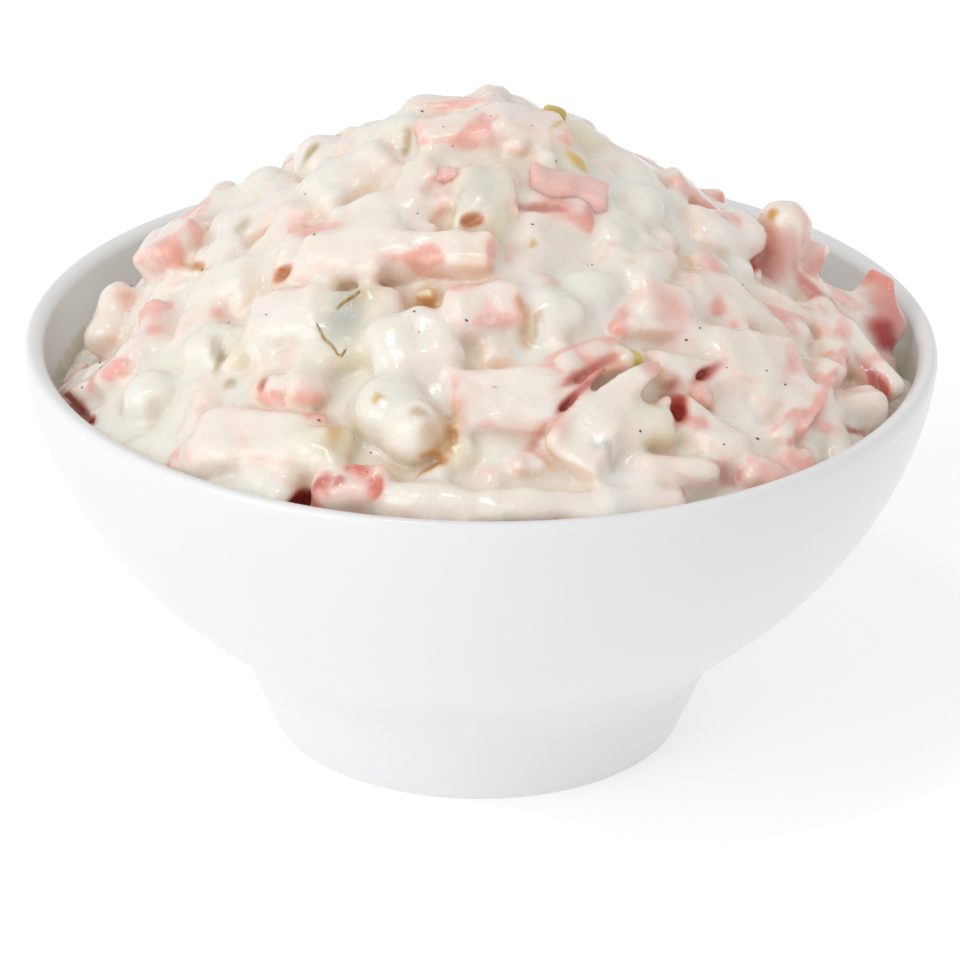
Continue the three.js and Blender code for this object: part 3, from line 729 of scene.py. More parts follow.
# Hollows between the pieces, each cut along the way the surface faces. Their red is painted dark red
# shadow and their amber painted warm shade.
HOLLOW = {"deep": 1.6, "red": 0.0, "amber": 0.0}
HOLLOW_SINK = 0.45
HOLLOW_WANDER = 0.3
HOLLOW_LEAN = 0.7
HOLLOW_MARGIN = 1.6
HOLLOW_EASE = 0.8
HOLLOW_COAT = 0.12
HOLLOW_RIM = 0.8
HOLLOW_GRAIN = 0.6
HOLLOW_FULL = 0.85
HOLLOW_FADE = 0.5
RIM_FADE = 0.8


def hollow(at, turn, long, wide, **more):
    return {**HOLLOW, "at": at, "turn": turn, "long": long, "wide": wide, **more}


HOLLOWS = [
    hollow([-23.3, -18.9], 35, 0.9, 0.5, deep=0.6, red=0.35, amber=0.85),
    hollow([-20.4, -46.4], 15, 1.8, 1.4, deep=2.4, red=1.0),
    hollow([22.7, -34.4], 108, 2.7, 0.85, deep=2.4, red=1.0),
    hollow([26.3, -28.0], 60, 1.7, 0.35, deep=1.0, red=0.8),
    hollow([44.0, -23.6], 20, 2.6, 0.9, deep=1.6, red=1.0),
    hollow([-46.9, -18.9], -62, 5.5, 0.6, deep=1.2, red=0.75),
    hollow([-34.3, -7.6], -15, 1.2, 0.3, deep=0.6, amber=0.75),
    hollow([-1.3, -18.9], 20, 0.9, 0.5, deep=0.6, red=0.55, amber=0.9),
    hollow([6.2, -14.6], 8, 2.2, 0.3, deep=0.5, red=0.4),
    hollow([33.2, -2.2], 80, 1.8, 0.5, deep=0.9, red=0.7),
    hollow([10.2, -38.6], 62, 3.4, 0.4, deep=1.2, red=0.75),
    hollow([13.6, -33.6], 50, 3.2, 0.35, deep=1.0, red=0.65),
    hollow([47.4, -15.0], -50, 3.4, 0.5, deep=0.8, red=0.75),
    hollow([-24.9, -32.3], 60, 0.7, 0.25, deep=0.5, red=0.5, amber=0.3),
    hollow([-30.1, -26.2], 85, 2.0, 0.8, deep=0.7),
    hollow([-49.2, -9.5], -75, 2.6, 0.6, deep=1.2, red=0.8),
]


def scraps(shown, seed):
    """Small torn bits in the gaps between the pieces, all over the heap."""
    draw = Draws(seed + SCRAP_SALT)
    made = []
    ends = []
    for piece in shown:
        turn = math.radians(piece["turn"])
        half = piece["long"] / 2
        along = np.array([math.cos(turn), math.sin(turn)]) * half
        ends.append((np.array(piece["at"]), along, half, piece["wide"] / 2))
    for _ in range(SCRAP_DRAWS):
        angle = draw(0, 2 * math.pi)
        at = np.array([math.cos(angle), math.sin(angle)]) * SCRAP_REACH * math.sqrt(draw(0, 1))
        turn = draw(0, 180)
        long = draw(*SCRAP_LENGTHS)
        share = draw(*SCRAP_WIDTHS)
        rise = draw(-SCRAP_RISE, SCRAP_RISE)
        lean = draw(-SCRAP_LEAN, SCRAP_LEAN)
        proud = draw(*SCRAP_PROUD)
        film = draw(*SCRAP_FILMS)
        kind = draw(0, 1)
        room = min(gap_to(at, *end) for end in ends)
        if room < -SCRAP_OVERLAP:
            continue
        wide = min(long * share, WIDEST_SCRAP)
        thick = max(wide * 0.8, THINNEST_SCRAP)
        sizes = {"wide": wide, "thick": thick, "round": 0.35 * wide, "ease": 1.7}
        pose = {"rise": rise, "lean": lean, "proud": proud, "film": film}
        if kind < SCRAP_SAUSAGE:
            made.append(strip(list(at), turn, long, **sizes, **pose))
        elif kind < SCRAP_GHERKIN:
            coated = {**pose, "film": 0.3, "ease": 1.0}
            made.append(gherkin(list(at), turn, 0.7 * long, 0.7 * wide, **coated))
        else:
            made.append({**strip(list(at), turn, long, **sizes, **pose), "kind": "lump"})
    return made


def gap_to(at, middle, along, half, wide):
    """Distance in plan from a piece's outline to a point."""
    away = at - middle
    share = np.clip(away.dot(along) / half ** 2, -1, 1)
    return float(np.linalg.norm(away - share * along)) - wide


class Field:
    """The heap worked out on a grid: the dressing, and the bare pieces under it."""

    def __init__(self, step, seed):
        self.step = step
        count = int(2 * GRID_REACH / step) + 1
        self.x = (np.arange(count) * step - GRID_REACH).astype(np.float32)
        self.y = self.x.copy()
        levels = int((GRID_HIGH - GRID_LOW) / step) + 1
        self.z = (np.arange(levels) * step + GRID_LOW).astype(np.float32)
        self.origin = np.array([self.x[0], self.y[0], self.z[0]])
        self.seed = seed
        large = SHOWN_PIECES + SMALL_PIECES + back_pieces(SHOWN_PIECES, seed)
        self.pieces = large + scraps(large, seed)
        self.places = [placed(piece) for piece in self.pieces]
        self.lumps = self.noise(LUMP_PERIOD, 1)
        self.bumps = self.noise(BUMP_PERIOD, 2)
        self.grain = self.noise(GRAIN_PERIOD, 3)
        self.coat = self.noise(COAT_PERIOD, 4)
        self.bends = [self.noise(BEND_PERIOD, salt) for salt in (7, 5, 6)]
        self.raw = {kind: np.full(self.lumps.shape, FAR, np.float32)
                    for kind in ("sausage", "pea", "gherkin", "lump")}
        self.bare = {kind: np.full(self.lumps.shape, FAR, np.float32)
                     for kind in ("sausage", "gherkin")}
        self.deep = np.zeros_like(self.lumps)
        # Pink sausage edges, and the red and amber painted as shadow and shade in the hollows
        self.edges_and_shade = {name: np.zeros_like(self.lumps) for name in ("red", "amber", "edge")}
        self.thick = self.dressing()
        self.carve()

    def noise(self, period, salt):
        """Smooth noise on the whole grid with a spread of one, from a lattice of seeded draws."""
        draw = np.random.default_rng(self.seed + salt)
        weights = [spline_weights(axis, period) for axis in (self.x, self.y, self.z)]
        knots = [w.shape[1] for w in weights]
        lattice = draw.uniform(-1, 1, knots).astype(np.float32)
        made = np.tensordot(weights[0], lattice, (1, 0))
        made = np.einsum("jb,abc->ajc", weights[1], made, optimize=True)
        made = made @ weights[2].T
        return (made / made.std()).astype(np.float32)

    def window(self, middle, reach):
        """The part of the grid within a reach of a point, and its coordinates from that point."""
        cuts = []
        offsets = []
        for axis, centre in zip((self.x, self.y, self.z), middle):
            low = int(np.searchsorted(axis, centre - reach))
            high = int(np.searchsorted(axis, centre + reach))
            cuts.append(slice(low, high))
            offsets.append(axis[low:high] - np.float32(centre))
        return tuple(cuts), np.ix_(*offsets)

    def own_coordinates(self, piece, axes, cut, offsets):
        """Coordinates in the piece's own frame, bent a little so that no piece is quite straight."""
        own = [sum(axes[row, k] * offsets[row] for row in range(3)) for k in range(3)]
        if piece["kind"] != "pea":
            own[0] = own[0] + WARP * self.bends[0][cut] + SMALL_WARP * self.bumps[cut]
            own[1] = own[1] + WARP * self.bends[1][cut] + SMALL_WARP * self.coat[cut]
            own[2] = own[2] + FLAT_WARP * self.bends[2][cut]
        half = piece["long"] / 2
        own[2] = own[2] - piece["bend"] * (own[0] / half) ** 2
        return own

    def distance(self, piece, own, shrink, rounding):
        """Distance from the piece's surface, once it is shrunk on all sides and rounded."""
        if piece["kind"] == "pea":
            radius = PEA_SWELL * piece["long"] / 2 - shrink
            return np.sqrt(own[0] ** 2 + own[1] ** 2 + own[2] ** 2) - radius
        half = piece["long"] / 2
        share = mix(1, piece["taper"], np.clip((own[0] + half) / piece["long"], 0, 1))
        least = min(piece["wide"], piece["thick"], piece["long"]) / 2 * piece["taper"] - shrink
        rounding = min(rounding, MOST_ROUND_SHARE * least)
        inset = shrink + rounding
        a = np.abs(own[0]) - (half - inset)
        b = np.abs(own[1]) - (piece["wide"] / 2 * share - inset)
        c = np.abs(own[2]) - (piece["thick"] / 2 * share - inset)
        outside = np.sqrt(np.maximum(a, 0) ** 2 + np.maximum(b, 0) ** 2 + np.maximum(c, 0) ** 2)
        inside = np.minimum(np.maximum(np.maximum(a, b), c), 0)
        return outside + inside - rounding

    def edge_share(self, piece, own, cut):
        """One along the upper edges of a block, falling to none beside them, with breaks."""
        inset = EDGE_INSET * (piece["round"] + COAT_ROUND)
        ends = np.abs(own[0]) - (piece["long"] / 2 - inset)
        sides = np.abs(own[1]) - (piece["wide"] / 2 - inset)
        top = own[2] - (piece["thick"] / 2 - inset)
        beyond = np.maximum(np.maximum(ends, sides), 0)
        away = np.minimum(np.hypot(ends, np.maximum(sides, 0)), np.hypot(sides, np.maximum(ends, 0)))
        away = np.sqrt(away ** 2 + top ** 2 + beyond ** 2)
        unbroken = smoothstep(self.bumps[cut] + self.coat[cut], *EDGE_BREAKS)
        return np.exp(-(away / EDGE_WIDTH) ** 2) * unbroken

    def thinning(self):
        """How much the marks thin the dressing, seen in plan."""
        most = np.zeros((len(self.x), len(self.y)), np.float32)
        for spot in MARKS:
            if spot["bare"]:
                share = mark_share(spot, self.x[:, None], self.y[None, :], THIN_FULL, THIN_NONE)
                most = np.maximum(most, spot["bare"] * share)
        return most[:, :, None]

    def lay(self, piece, place, thick):
        """Puts one piece into the grids, and its coat into the dressing's."""
        reach = math.hypot(piece["long"], max(piece["wide"], piece["thick"])) / 2 + WINDOW_MARGIN
        axes, middle = place
        cut, offsets = self.window(middle, reach)
        own = self.own_coordinates(piece, axes, cut, offsets)
        film = max(piece["film"], 0.0)
        bare = piece["film"] <= BARE_FILM
        coat_round = piece["round"] + COAT_ROUND
        crisp = CRISP_SHARE * piece["round"] + CRISP_ROUND
        soft = max(coat_round - FILM_ROUNDING * film, LEAST_ROUND)
        raw = self.distance(piece, own, film, crisp if bare else soft)
        if piece["kind"] == "sausage":
            grain, bumps = BARE_RELIEF if bare else COATED_RELIEF
            raw = raw + grain * self.grain[cut] + bumps * self.bumps[cut]
            nearer = raw < self.raw["sausage"][cut]
            self.deep[cut] = np.where(nearer, piece["deep"], self.deep[cut])
            line = piece["edge"] * self.edge_share(piece, own, cut)
            self.edges_and_shade["edge"][cut] = np.maximum(self.edges_and_shade["edge"][cut], line)
        for grids in (self.raw, self.bare) if bare else (self.raw,):
            kind = grids[piece["kind"]]
            kind[cut] = np.minimum(kind[cut], raw)
        coat = self.distance(piece, own, 0, coat_round)
        slant = 0 if piece["kind"] == "pea" else piece["slant"]
        coat = coat + slant * 2 * own[0] / piece["long"]
        if bare:
            coat = coat + BARE_DROP - BLOB * smoothstep(self.coat[cut], BLOB_FROM, BLOB_FULL)
        else:
            uneven = LEAST_UNEVEN + UNEVEN * film
            coat = np.minimum(coat - uneven * np.tanh(UNEVEN_GAIN * self.coat[cut]), raw)
        thick[cut] = soft_min(thick[cut], coat, piece["ease"])

    def dressing(self):
        """Distance from the dressing's surface, over the mean surface and every piece."""
        x = self.x[:, None]
        y = self.y[None, :]
        top = heap_top(x, y) - heap_size("sink") + LIFT + waves(x, y)
        steep = math.hypot(1, bpy.context.scene.salad_heap.cone_slope)
        thick = ((self.z[None, None, :] - top[:, :, None]) / steep).astype(np.float32)
        thick -= LUMP_RELIEF * self.lumps
        for piece, place in zip(self.pieces, self.places):
            self.lay(piece, place, thick)
        crests = np.exp(-(self.bends[0] * self.coat / CREST_WIDTH) ** 2)
        thick -= CREST * crests * smoothstep(self.lumps, *CREST_LUMPS)
        thick -= BUMP_RELIEF * self.bumps + GRAIN_RELIEF * self.grain
        thick += self.thinning()
        r = np.hypot(x, y)[:, :, None]
        wall = room_at(self.z + GAP) + WALL_PRESS
        return np.maximum(thick, (r - wall[None, None, :]).astype(np.float32))

    def carve(self):
        """Cuts the hollows into the dressing and into the pieces, and notes the painted dark red shadow and
        warm amber shade at their bottoms, and a redder rim round the red ones.
        """
        for spot in HOLLOWS:
            middle, normal = surface_point(self, *spot["at"])
            outward = np.array([*spot["at"], 0.0]) / math.hypot(*spot["at"])
            normal = normal + HOLLOW_LEAN * spot["red"] * outward
            normal /= np.linalg.norm(normal)
            turn = math.radians(spot["turn"])
            along = np.array([math.cos(turn), math.sin(turn), 0.0])
            along -= along.dot(normal) * normal
            along /= np.linalg.norm(along)
            sizes = (spot["long"], spot["wide"], spot["deep"])
            least = min(sizes)
            axes = (along, np.cross(normal, along), normal)
            middle = middle - HOLLOW_SINK * spot["deep"] * normal
            cut, offsets = self.window(middle, HOLLOW_MARGIN * max(sizes))
            own = [sum(axis[k] * offsets[k] for k in range(3)) for axis in axes]
            reach = np.sqrt(sum((line / size) ** 2 for line, size in zip(own, sizes)))
            reach = reach + HOLLOW_WANDER * (self.bumps[cut] + HOLLOW_GRAIN * self.grain[cut])
            ball = (reach - 1) * least
            self.thick[cut] = soft_max(self.thick[cut], -ball, HOLLOW_EASE)
            for grid in (*self.raw.values(), *self.bare.values()):
                grid[cut] = np.maximum(grid[cut], -ball - HOLLOW_COAT)
            # Painted shadow red and amber shade inside the hollow, and a redder rim round it
            within = 1 - smoothstep(reach, HOLLOW_FULL, 1 + HOLLOW_FADE / least)
            rim = HOLLOW_RIM * spot["red"] * (1 - smoothstep(reach, 1, 1 + RIM_FADE / least))
            shares = {"red": spot["red"] * within, "amber": spot["amber"] * within, "edge": rim}
            for name, share in shares.items():
                self.edges_and_shade[name][cut] = np.maximum(self.edges_and_shade[name][cut], share)
            self.deep[cut] = np.maximum(self.deep[cut], rim)

    def sample(self, grid, points):
        """Values of a grid at points, in straight lines between its own points."""
        at = (points - self.origin) / self.step
        low = np.clip(np.floor(at).astype(int), 0, np.array(grid.shape) - 2)
        share = np.clip(at - low, 0, 1)
        total = np.zeros(len(points))
        for corner in np.ndindex(2, 2, 2):
            weight = np.ones(len(points))
            for axis in range(3):
                weight = weight * (share[:, axis] if corner[axis] else 1 - share[:, axis])
            i, j, k = (low + corner).T
            total += weight * grid[i, j, k]
        return total

    def normals(self, points):
        """Which way the dressing faces at points on it."""
        slopes = []
        for ahead in NORMAL_REACH * np.eye(3):
            slopes.append(self.sample(self.thick, points + ahead) - self.sample(self.thick, points - ahead))
        normal = np.column_stack(slopes)
        return normal / np.maximum(np.linalg.norm(normal, axis=1), TINY)[:, None]


def spline_weights(axis, period):
    """How much each knot of a lattice counts at each point of an axis, as a cubic B-spline."""
    at = (axis - axis[0]) / period
    base = np.floor(at).astype(int)
    t = at - base
    rows = np.zeros((len(axis), base.max() + 4), np.float32)
    steps = ((1 - t) ** 3, 3 * t ** 3 - 6 * t ** 2 + 4, -3 * t ** 3 + 3 * t ** 2 + 3 * t + 1, t ** 3)
    for k, weight in enumerate(steps):
        rows[np.arange(len(axis)), base + k] = weight / 6
    return rows


def mark_share(spot, x, y, full, none):
    """One inside a share of a mark's size, falling to none at a larger share of it."""
    turn = math.radians(spot["turn"])
    wander = MARK_WANDER * min(spot["wide"], 1.0)
    dx = x - spot["at"][0] + wander * np.sin(1.5 * y + 1.3 * np.sin(1.1 * x))
    dy = y - spot["at"][1] + wander * np.sin(1.3 * x + 1.1 * np.sin(1.6 * y))
    a = (dx * math.cos(turn) + dy * math.sin(turn)) / spot["long"]
    b = (dy * math.cos(turn) - dx * math.sin(turn)) / spot["wide"]
    return 1 - smoothstep(np.sqrt(a * a + b * b), full, none)


def surface_net(grid, origin, step):
    """Points and quads of a grid's zero surface, with one point in each cell that it crosses."""
    inside = grid < 0
    corners = list(np.ndindex(2, 2, 2))
    size = [n - 1 for n in grid.shape]
    count = np.zeros(size, np.uint8)
    for i, j, k in corners:
        count += inside[i:i + size[0], j:j + size[1], k:k + size[2]]
    mixed = (count > 0) & (count < 8)
    cells = np.argwhere(mixed)
    number = np.full(size, -1, np.int32)
    number[mixed] = np.arange(len(cells), dtype=np.int32)
    total = np.zeros((len(cells), 3))
    hits = np.zeros(len(cells))
    values = {c: grid[tuple((cells + c).T)] for c in corners}
    for first in corners:
        for axis in range(3):
            if first[axis]:
                continue
            second = tuple(1 if k == axis else first[k] for k in range(3))
            a = values[first]
            b = values[second]
            cross = (a < 0) != (b < 0)
            share = np.where(cross, a / np.where(cross, a - b, 1), 0)
            total += np.where(cross[:, None], np.array(first), 0)
            total[:, axis] += share
            hits += cross
    points = origin + step * (cells + total / hits[:, None])
    quads = []
    for axis in range(3):
        one = [slice(1, -1)] * 3
        two = [slice(1, -1)] * 3
        one[axis] = slice(0, -1)
        two[axis] = slice(1, None)
        enters = inside[tuple(one)] & ~inside[tuple(two)]
        leaves = ~inside[tuple(one)] & inside[tuple(two)]
        u, v = [k for k in range(3) if k != axis]
        for found, flip in ((enters, axis == 1), (leaves, axis != 1)):
            edge = np.argwhere(found)
            edge[:, u] += 1
            edge[:, v] += 1
            ring = []
            for du, dv in ((0, 0), (-1, 0), (-1, -1), (0, -1)):
                cell = edge.copy()
                cell[:, u] += du
                cell[:, v] += dv
                ring.append(number[tuple(cell.T)])
            quad = np.column_stack(ring)
            quads.append(quad[:, ::-1] if flip else quad)
    return points, np.vstack(quads)


def relaxed(points, quads, rounds, pull):
    """Points moved towards the middle of their neighbours, a given number of times."""
    ends = np.vstack([quads[:, [k, (k + 1) % 4]] for k in range(4)])
    count = np.bincount(ends[:, 0], minlength=len(points)).astype(float)
    count += np.bincount(ends[:, 1], minlength=len(points))
    for _ in range(rounds):
        total = np.zeros_like(points)
        for axis in range(3):
            total[:, axis] += np.bincount(ends[:, 0], points[ends[:, 1], axis], len(points))
            total[:, axis] += np.bincount(ends[:, 1], points[ends[:, 0], axis], len(points))
        points = mix(points, total / np.maximum(count, 1)[:, None], pull)
    return points


def open_loop(quads):
    """The points round the one opening of a mesh, in order."""
    ends = np.vstack([quads[:, [k, (k + 1) % 4]] for k in range(4)])
    known = {(int(a), int(b)) for a, b in ends}
    following = {a: b for a, b in known if (b, a) not in known}
    start = min(following)
    loop = [start]
    while following[loop[-1]] != start:
        loop.append(following[loop[-1]])
    return loop, len(following)


FIELDS = {}


def field():
    """The heap's field, worked out anew only when one of its sizes has changed."""
    sizes = bpy.context.scene.salad_heap
    state = tuple(getattr(sizes, name) for name in SaladHeapSizes.__annotations__)
    if state not in FIELDS:
        FIELDS.clear()
        FIELDS[state] = Field(millimetres(sizes.step), sizes.seed)
    return FIELDS[state]


def mesh_object(name, points, faces, material):
    """A piece from points in millimetres and its faces."""
    mesh = bpy.data.meshes.new(name)
    mesh.from_pydata((np.asarray(points) * METRES).tolist(), [], [list(map(int, f)) for f in faces])
    mesh.materials.append(material)
    mesh.validate()
    mesh.update()
    mesh.shade_smooth()
    made = bpy.data.objects.new(name, mesh)
    bpy.context.scene.collection.objects.link(made)
    return made


def paint(obj, name, channels):
    """Stores three channels of values as a colour at each point of a piece's mesh."""
    layer = obj.data.color_attributes.new(name, "FLOAT_COLOR", "POINT")
    rgba = np.ones((len(obj.data.vertices), 4), np.float32)
    rgba[:, :3] = np.column_stack(channels)
    layer.data.foreach_set("color", rgba.ravel())


class Shader:
    """A material's nodes, made from left to right."""

    def __init__(self, name):
        self.material = bpy.data.materials.new(name)
        self.material.use_nodes = True
        self.nodes = self.material.node_tree.nodes
        self.links = self.material.node_tree.links
        self.surface = self.nodes["Principled BSDF"]
        self.column = 0

    def node(self, kind, **settings):
        made = self.nodes.new(kind)
        self.column += 1
        made.location = (-220 * self.column, 160 * (self.column % 4))
        for key, value in settings.items():
            setattr(made, key, value)
        return made

    def link(self, output, socket):
        self.links.new(output, socket)

    def set(self, **sockets):
        """Sets the surface's own sockets, with spaces in their names written as _."""
        for key, value in sockets.items():
            self.surface.inputs[key.replace("_", " ")].default_value = value

    def noise(self, per_metre, detail=3.0, rough=0.55):
        made = self.node("ShaderNodeTexNoise")
        made.inputs["Scale"].default_value = per_metre
        made.inputs["Detail"].default_value = detail
        made.inputs["Roughness"].default_value = rough
        place = self.node("ShaderNodeTexCoord").outputs["Object"]
        self.link(place, made.inputs["Vector"])
        return made.outputs["Fac"]

    def spread(self, value, low, high, out_low=0.0, out_high=1.0):
        made = self.node("ShaderNodeMapRange", interpolation_type="SMOOTHSTEP")
        made.inputs["From Min"].default_value = low
        made.inputs["From Max"].default_value = high
        made.inputs["To Min"].default_value = out_low
        made.inputs["To Max"].default_value = out_high
        self.link(value, made.inputs["Value"])
        return made.outputs["Result"]

    def mixed(self, share, first, second):
        """A mix of two colours, each an output or a plain colour."""
        made = self.node("ShaderNodeMix", data_type="RGBA")
        self.link(share, made.inputs[0])
        for socket, value in ((made.inputs[6], first), (made.inputs[7], second)):
            if hasattr(value, "is_linked"):
                self.link(value, socket)
            else:
                socket.default_value = (*tuple(value)[:3], 1.0)
        return made.outputs[2]

    def layered(self, base, layers):
        """Lays colours over a base, each by its share, and gives the last one to the surface."""
        for share, colour in layers:
            base = self.mixed(share, base, colour)
        self.link(base, self.surface.inputs["Base Color"])

    def product(self, first, second):
        made = self.node("ShaderNodeMath", operation="MULTIPLY")
        for socket, value in zip(made.inputs, (first, second)):
            if isinstance(value, (float, int)):
                socket.default_value = value
            else:
                self.link(value, socket)
        return made.outputs[0]

    def bump(self, height, depth, strength=1.0, before=None):
        """Roughens the surface by a height, on top of a bump from before if there is one."""
        made = self.node("ShaderNodeBump")
        made.inputs["Distance"].default_value = depth
        made.inputs["Strength"].default_value = strength
        self.link(height, made.inputs["Height"])
        if before:
            self.link(before, made.inputs["Normal"])
        self.link(made.outputs["Normal"], self.surface.inputs["Normal"])
        return made.outputs["Normal"]

    def channels(self, name):
        """The three channels of a colour stored on the mesh."""
        stored = self.node("ShaderNodeAttribute", attribute_name=name)
        split = self.node("ShaderNodeSeparateColor")
        self.link(stored.outputs["Color"], split.inputs["Color"])
        return [split.outputs[k] for k in ("Red", "Green", "Blue")]


# Shades that the mayonnaise takes: thin over meat, in folds as painted shade, over peas and gherkin,
# and elsewhere
CREAM_SHADE = (0.825, 0.80, 0.745)
ROSY_SHADE = (0.84, 0.76, 0.70)
MILKY_MEAT = (0.84, 0.64, 0.575)
PALE_VEIL = (0.85, 0.695, 0.63)
RED_VEIL = (0.83, 0.56, 0.48)
CREAM_FOLD_SHADE = (0.81, 0.62, 0.41)
MEAT_FOLD_SHADE = (0.81, 0.48, 0.35)
OVER_PEA = (0.76, 0.745, 0.67)
OVER_GHERKIN = (0.74, 0.66, 0.44)
DULL_SHADE = (0.46, 0.46, 0.43)
YELLOW_SHADE = (0.66, 0.44, 0.06)

# Shades of the bare sausage with the shade painted in its creases, the gherkin, the pepper, the stems,
# the glaze and the floor
PALE_MEAT = (0.83, 0.56, 0.49)
CLOUDY_MEAT = (0.76, 0.30, 0.25)
MEAT_SPECKS = (0.56, 0.06, 0.07)
CREASE_SHADE_MEAT = (0.66, 0.20, 0.14)
COATED_MEAT = (0.86, 0.70, 0.645)
PALE_GHERKIN = (0.64, 0.50, 0.15)
PALE_PEPPER = (0.16, 0.09, 0.06)
DARK_STEM = (0.28, 0.15, 0.04)
GLAZE_SHADE = (0.76, 0.768, 0.775)
GREASE = (0.66, 0.60, 0.47)
FLOOR_SHADE = (0.61, 0.61, 0.612)
WHITE = (1.0, 1.0, 1.0)

# The range of the noise over which one shade gives way to the other
CLOUDS = (0.35, 0.7)


def dressing_material(finish):
    """Mayonnaise: cream where it is thick, and tinted by what it covers where it is thin. Painted shade
    warms its folds, and painted amber shade and dark red shadow lie in its gaps and hollows.
    """
    shader = Shader("mayonnaise")
    over_sausage, over_pea, over_gherkin = shader.channels("film")
    red, amber, shade = shader.channels("hollow")
    olive, yellow, grey = shader.channels("tints")
    blush, redness, _ = shader.channels("blush")
    ruddy = shader.mixed(redness, finish.sausage, finish.sausage_red)
    milk = shader.spread(shader.noise(330), 0.38, 0.68, 0.0, 0.85)
    layers = (
        (shader.spread(shader.noise(110, detail=2.0), 0.38, 0.66), CREAM_SHADE),
        (shader.spread(shader.noise(160, detail=2.0), 0.5, 0.75), ROSY_SHADE),
        (shader.product(over_sausage, over_sausage), shader.mixed(redness, PALE_VEIL, RED_VEIL)),
        (shader.spread(over_sausage, 0.72, 1.02), shader.mixed(milk, ruddy, MILKY_MEAT)),
        # Painted shade in the folds, pinker over sausage
        (shader.product(shade, 0.55), shader.mixed(over_sausage, CREAM_FOLD_SHADE, MEAT_FOLD_SHADE)),
        (shader.product(blush, 0.8), ruddy),
        (shader.product(over_pea, 0.55), OVER_PEA),
        (shader.product(over_gherkin, 0.6), OVER_GHERKIN),
        (shader.product(grey, 0.8), DULL_SHADE),
        (olive, finish.pea),
        (yellow, YELLOW_SHADE),
        # Painted warm amber shade in the gaps and amber on a few yellow bits, then painted dark red shadow
        # in the hollows
        (amber, finish.amber),
        (red, finish.sausage_red_shadow),
    )
    shader.layered(finish.dressing, layers)
    shader.set(Roughness=0.24, Subsurface_Weight=0.6, Subsurface_Scale=0.0018, Coat_Weight=0.35)
    shader.surface.inputs["Subsurface Radius"].default_value = (1.0, 0.6, 0.42)
    shader.set(Coat_Roughness=0.08, IOR=1.46)
    slow = shader.bump(shader.noise(600), 0.00022)
    shader.bump(shader.noise(1700, detail=2.0), 0.00003, before=slow)
    return shader.material


def sausage_material(finish):
    """Bare cooked sausage: pink, torn and moist, with painted shade in its creases and painted dark red
    shadow where it lies in a hollow.
    """
    shader = Shader("cooked_sausage")
    deep, crease_shade, veil = shader.channels("meat")
    redness = shader.channels("tone")[0]
    fibre = shader.noise(520, detail=5.0, rough=0.6)
    speckled = shader.spread(shader.noise(1300), 0.50, 0.64)
    layers = (
        (shader.spread(fibre, 0.46, 0.72, 0.0, 0.8), PALE_MEAT),
        (shader.spread(shader.noise(260), 0.42, 0.75), CLOUDY_MEAT),
        (shader.product(redness, speckled), MEAT_SPECKS),
        # Painted shade in the creases
        (crease_shade, CREASE_SHADE_MEAT),
        (veil, COATED_MEAT),
        # Painted dark red shadow in the hollows
        (deep, finish.sausage_red_shadow),
    )
    shader.layered(shader.mixed(redness, finish.sausage, finish.sausage_red), layers)
    shader.set(Roughness=0.34, Subsurface_Weight=0.5, Subsurface_Scale=0.0014, Coat_Weight=0.35)
    shader.surface.inputs["Subsurface Radius"].default_value = (1.0, 0.42, 0.3)
    shader.set(Coat_Roughness=0.14, IOR=1.42)
    shader.bump(fibre, 0.0003)
    return shader.material


def flesh_material(name, colour, pale, scale):
    """Moist vegetable flesh in two shades, with a fine pitted skin."""
    shader = Shader(name)
    shader.layered(colour, [(shader.spread(shader.noise(scale, detail=4.0), *CLOUDS), pale)])
    shader.set(Roughness=0.3, Subsurface_Weight=0.25, Subsurface_Scale=0.001, Coat_Weight=0.3)
    shader.set(Coat_Roughness=0.1)
    shader.bump(shader.noise(1800), 0.00006)
    return shader.material


def porcelain_material(finish):
    """White glazed porcelain with a faint waviness in the glaze."""
    shader = Shader("glazed_porcelain")
    patchy = shader.product(shader.channels("smear")[0], shader.noise(420, detail=4.0, rough=0.6))
    layers = (
        (shader.spread(shader.noise(26), *CLOUDS), GLAZE_SHADE),
        (shader.spread(patchy, 0.2, 0.42), GREASE),
    )
    shader.layered(finish.porcelain, layers)
    shader.set(Roughness=0.3, Coat_Weight=0.3, Coat_Roughness=0.07, IOR=1.36)
    shader.set(Subsurface_Weight=0.08, Subsurface_Scale=0.001)
    shader.bump(shader.noise(70, detail=2.0), 0.0001, strength=0.35)
    return shader.material


def floor_material(finish):
    shader = Shader("pale_floor")
    cloud = shader.noise(4, detail=2.0)
    shader.layered(finish.floor, [(shader.spread(cloud, 0.3, 0.7), FLOOR_SHADE)])
    shader.set(Roughness=0.9, Emission_Strength=FLOOR_GLOW, Emission_Color=(*WHITE, 1.0))
    return shader.material


def quarter_turn(steps, first=1):
    """Cosine and sine at equal steps of a quarter turn."""
    turns = [i / steps * math.pi / 2 for i in range(first, steps + 1)]
    return [(math.cos(turn), math.sin(turn)) for turn in turns]


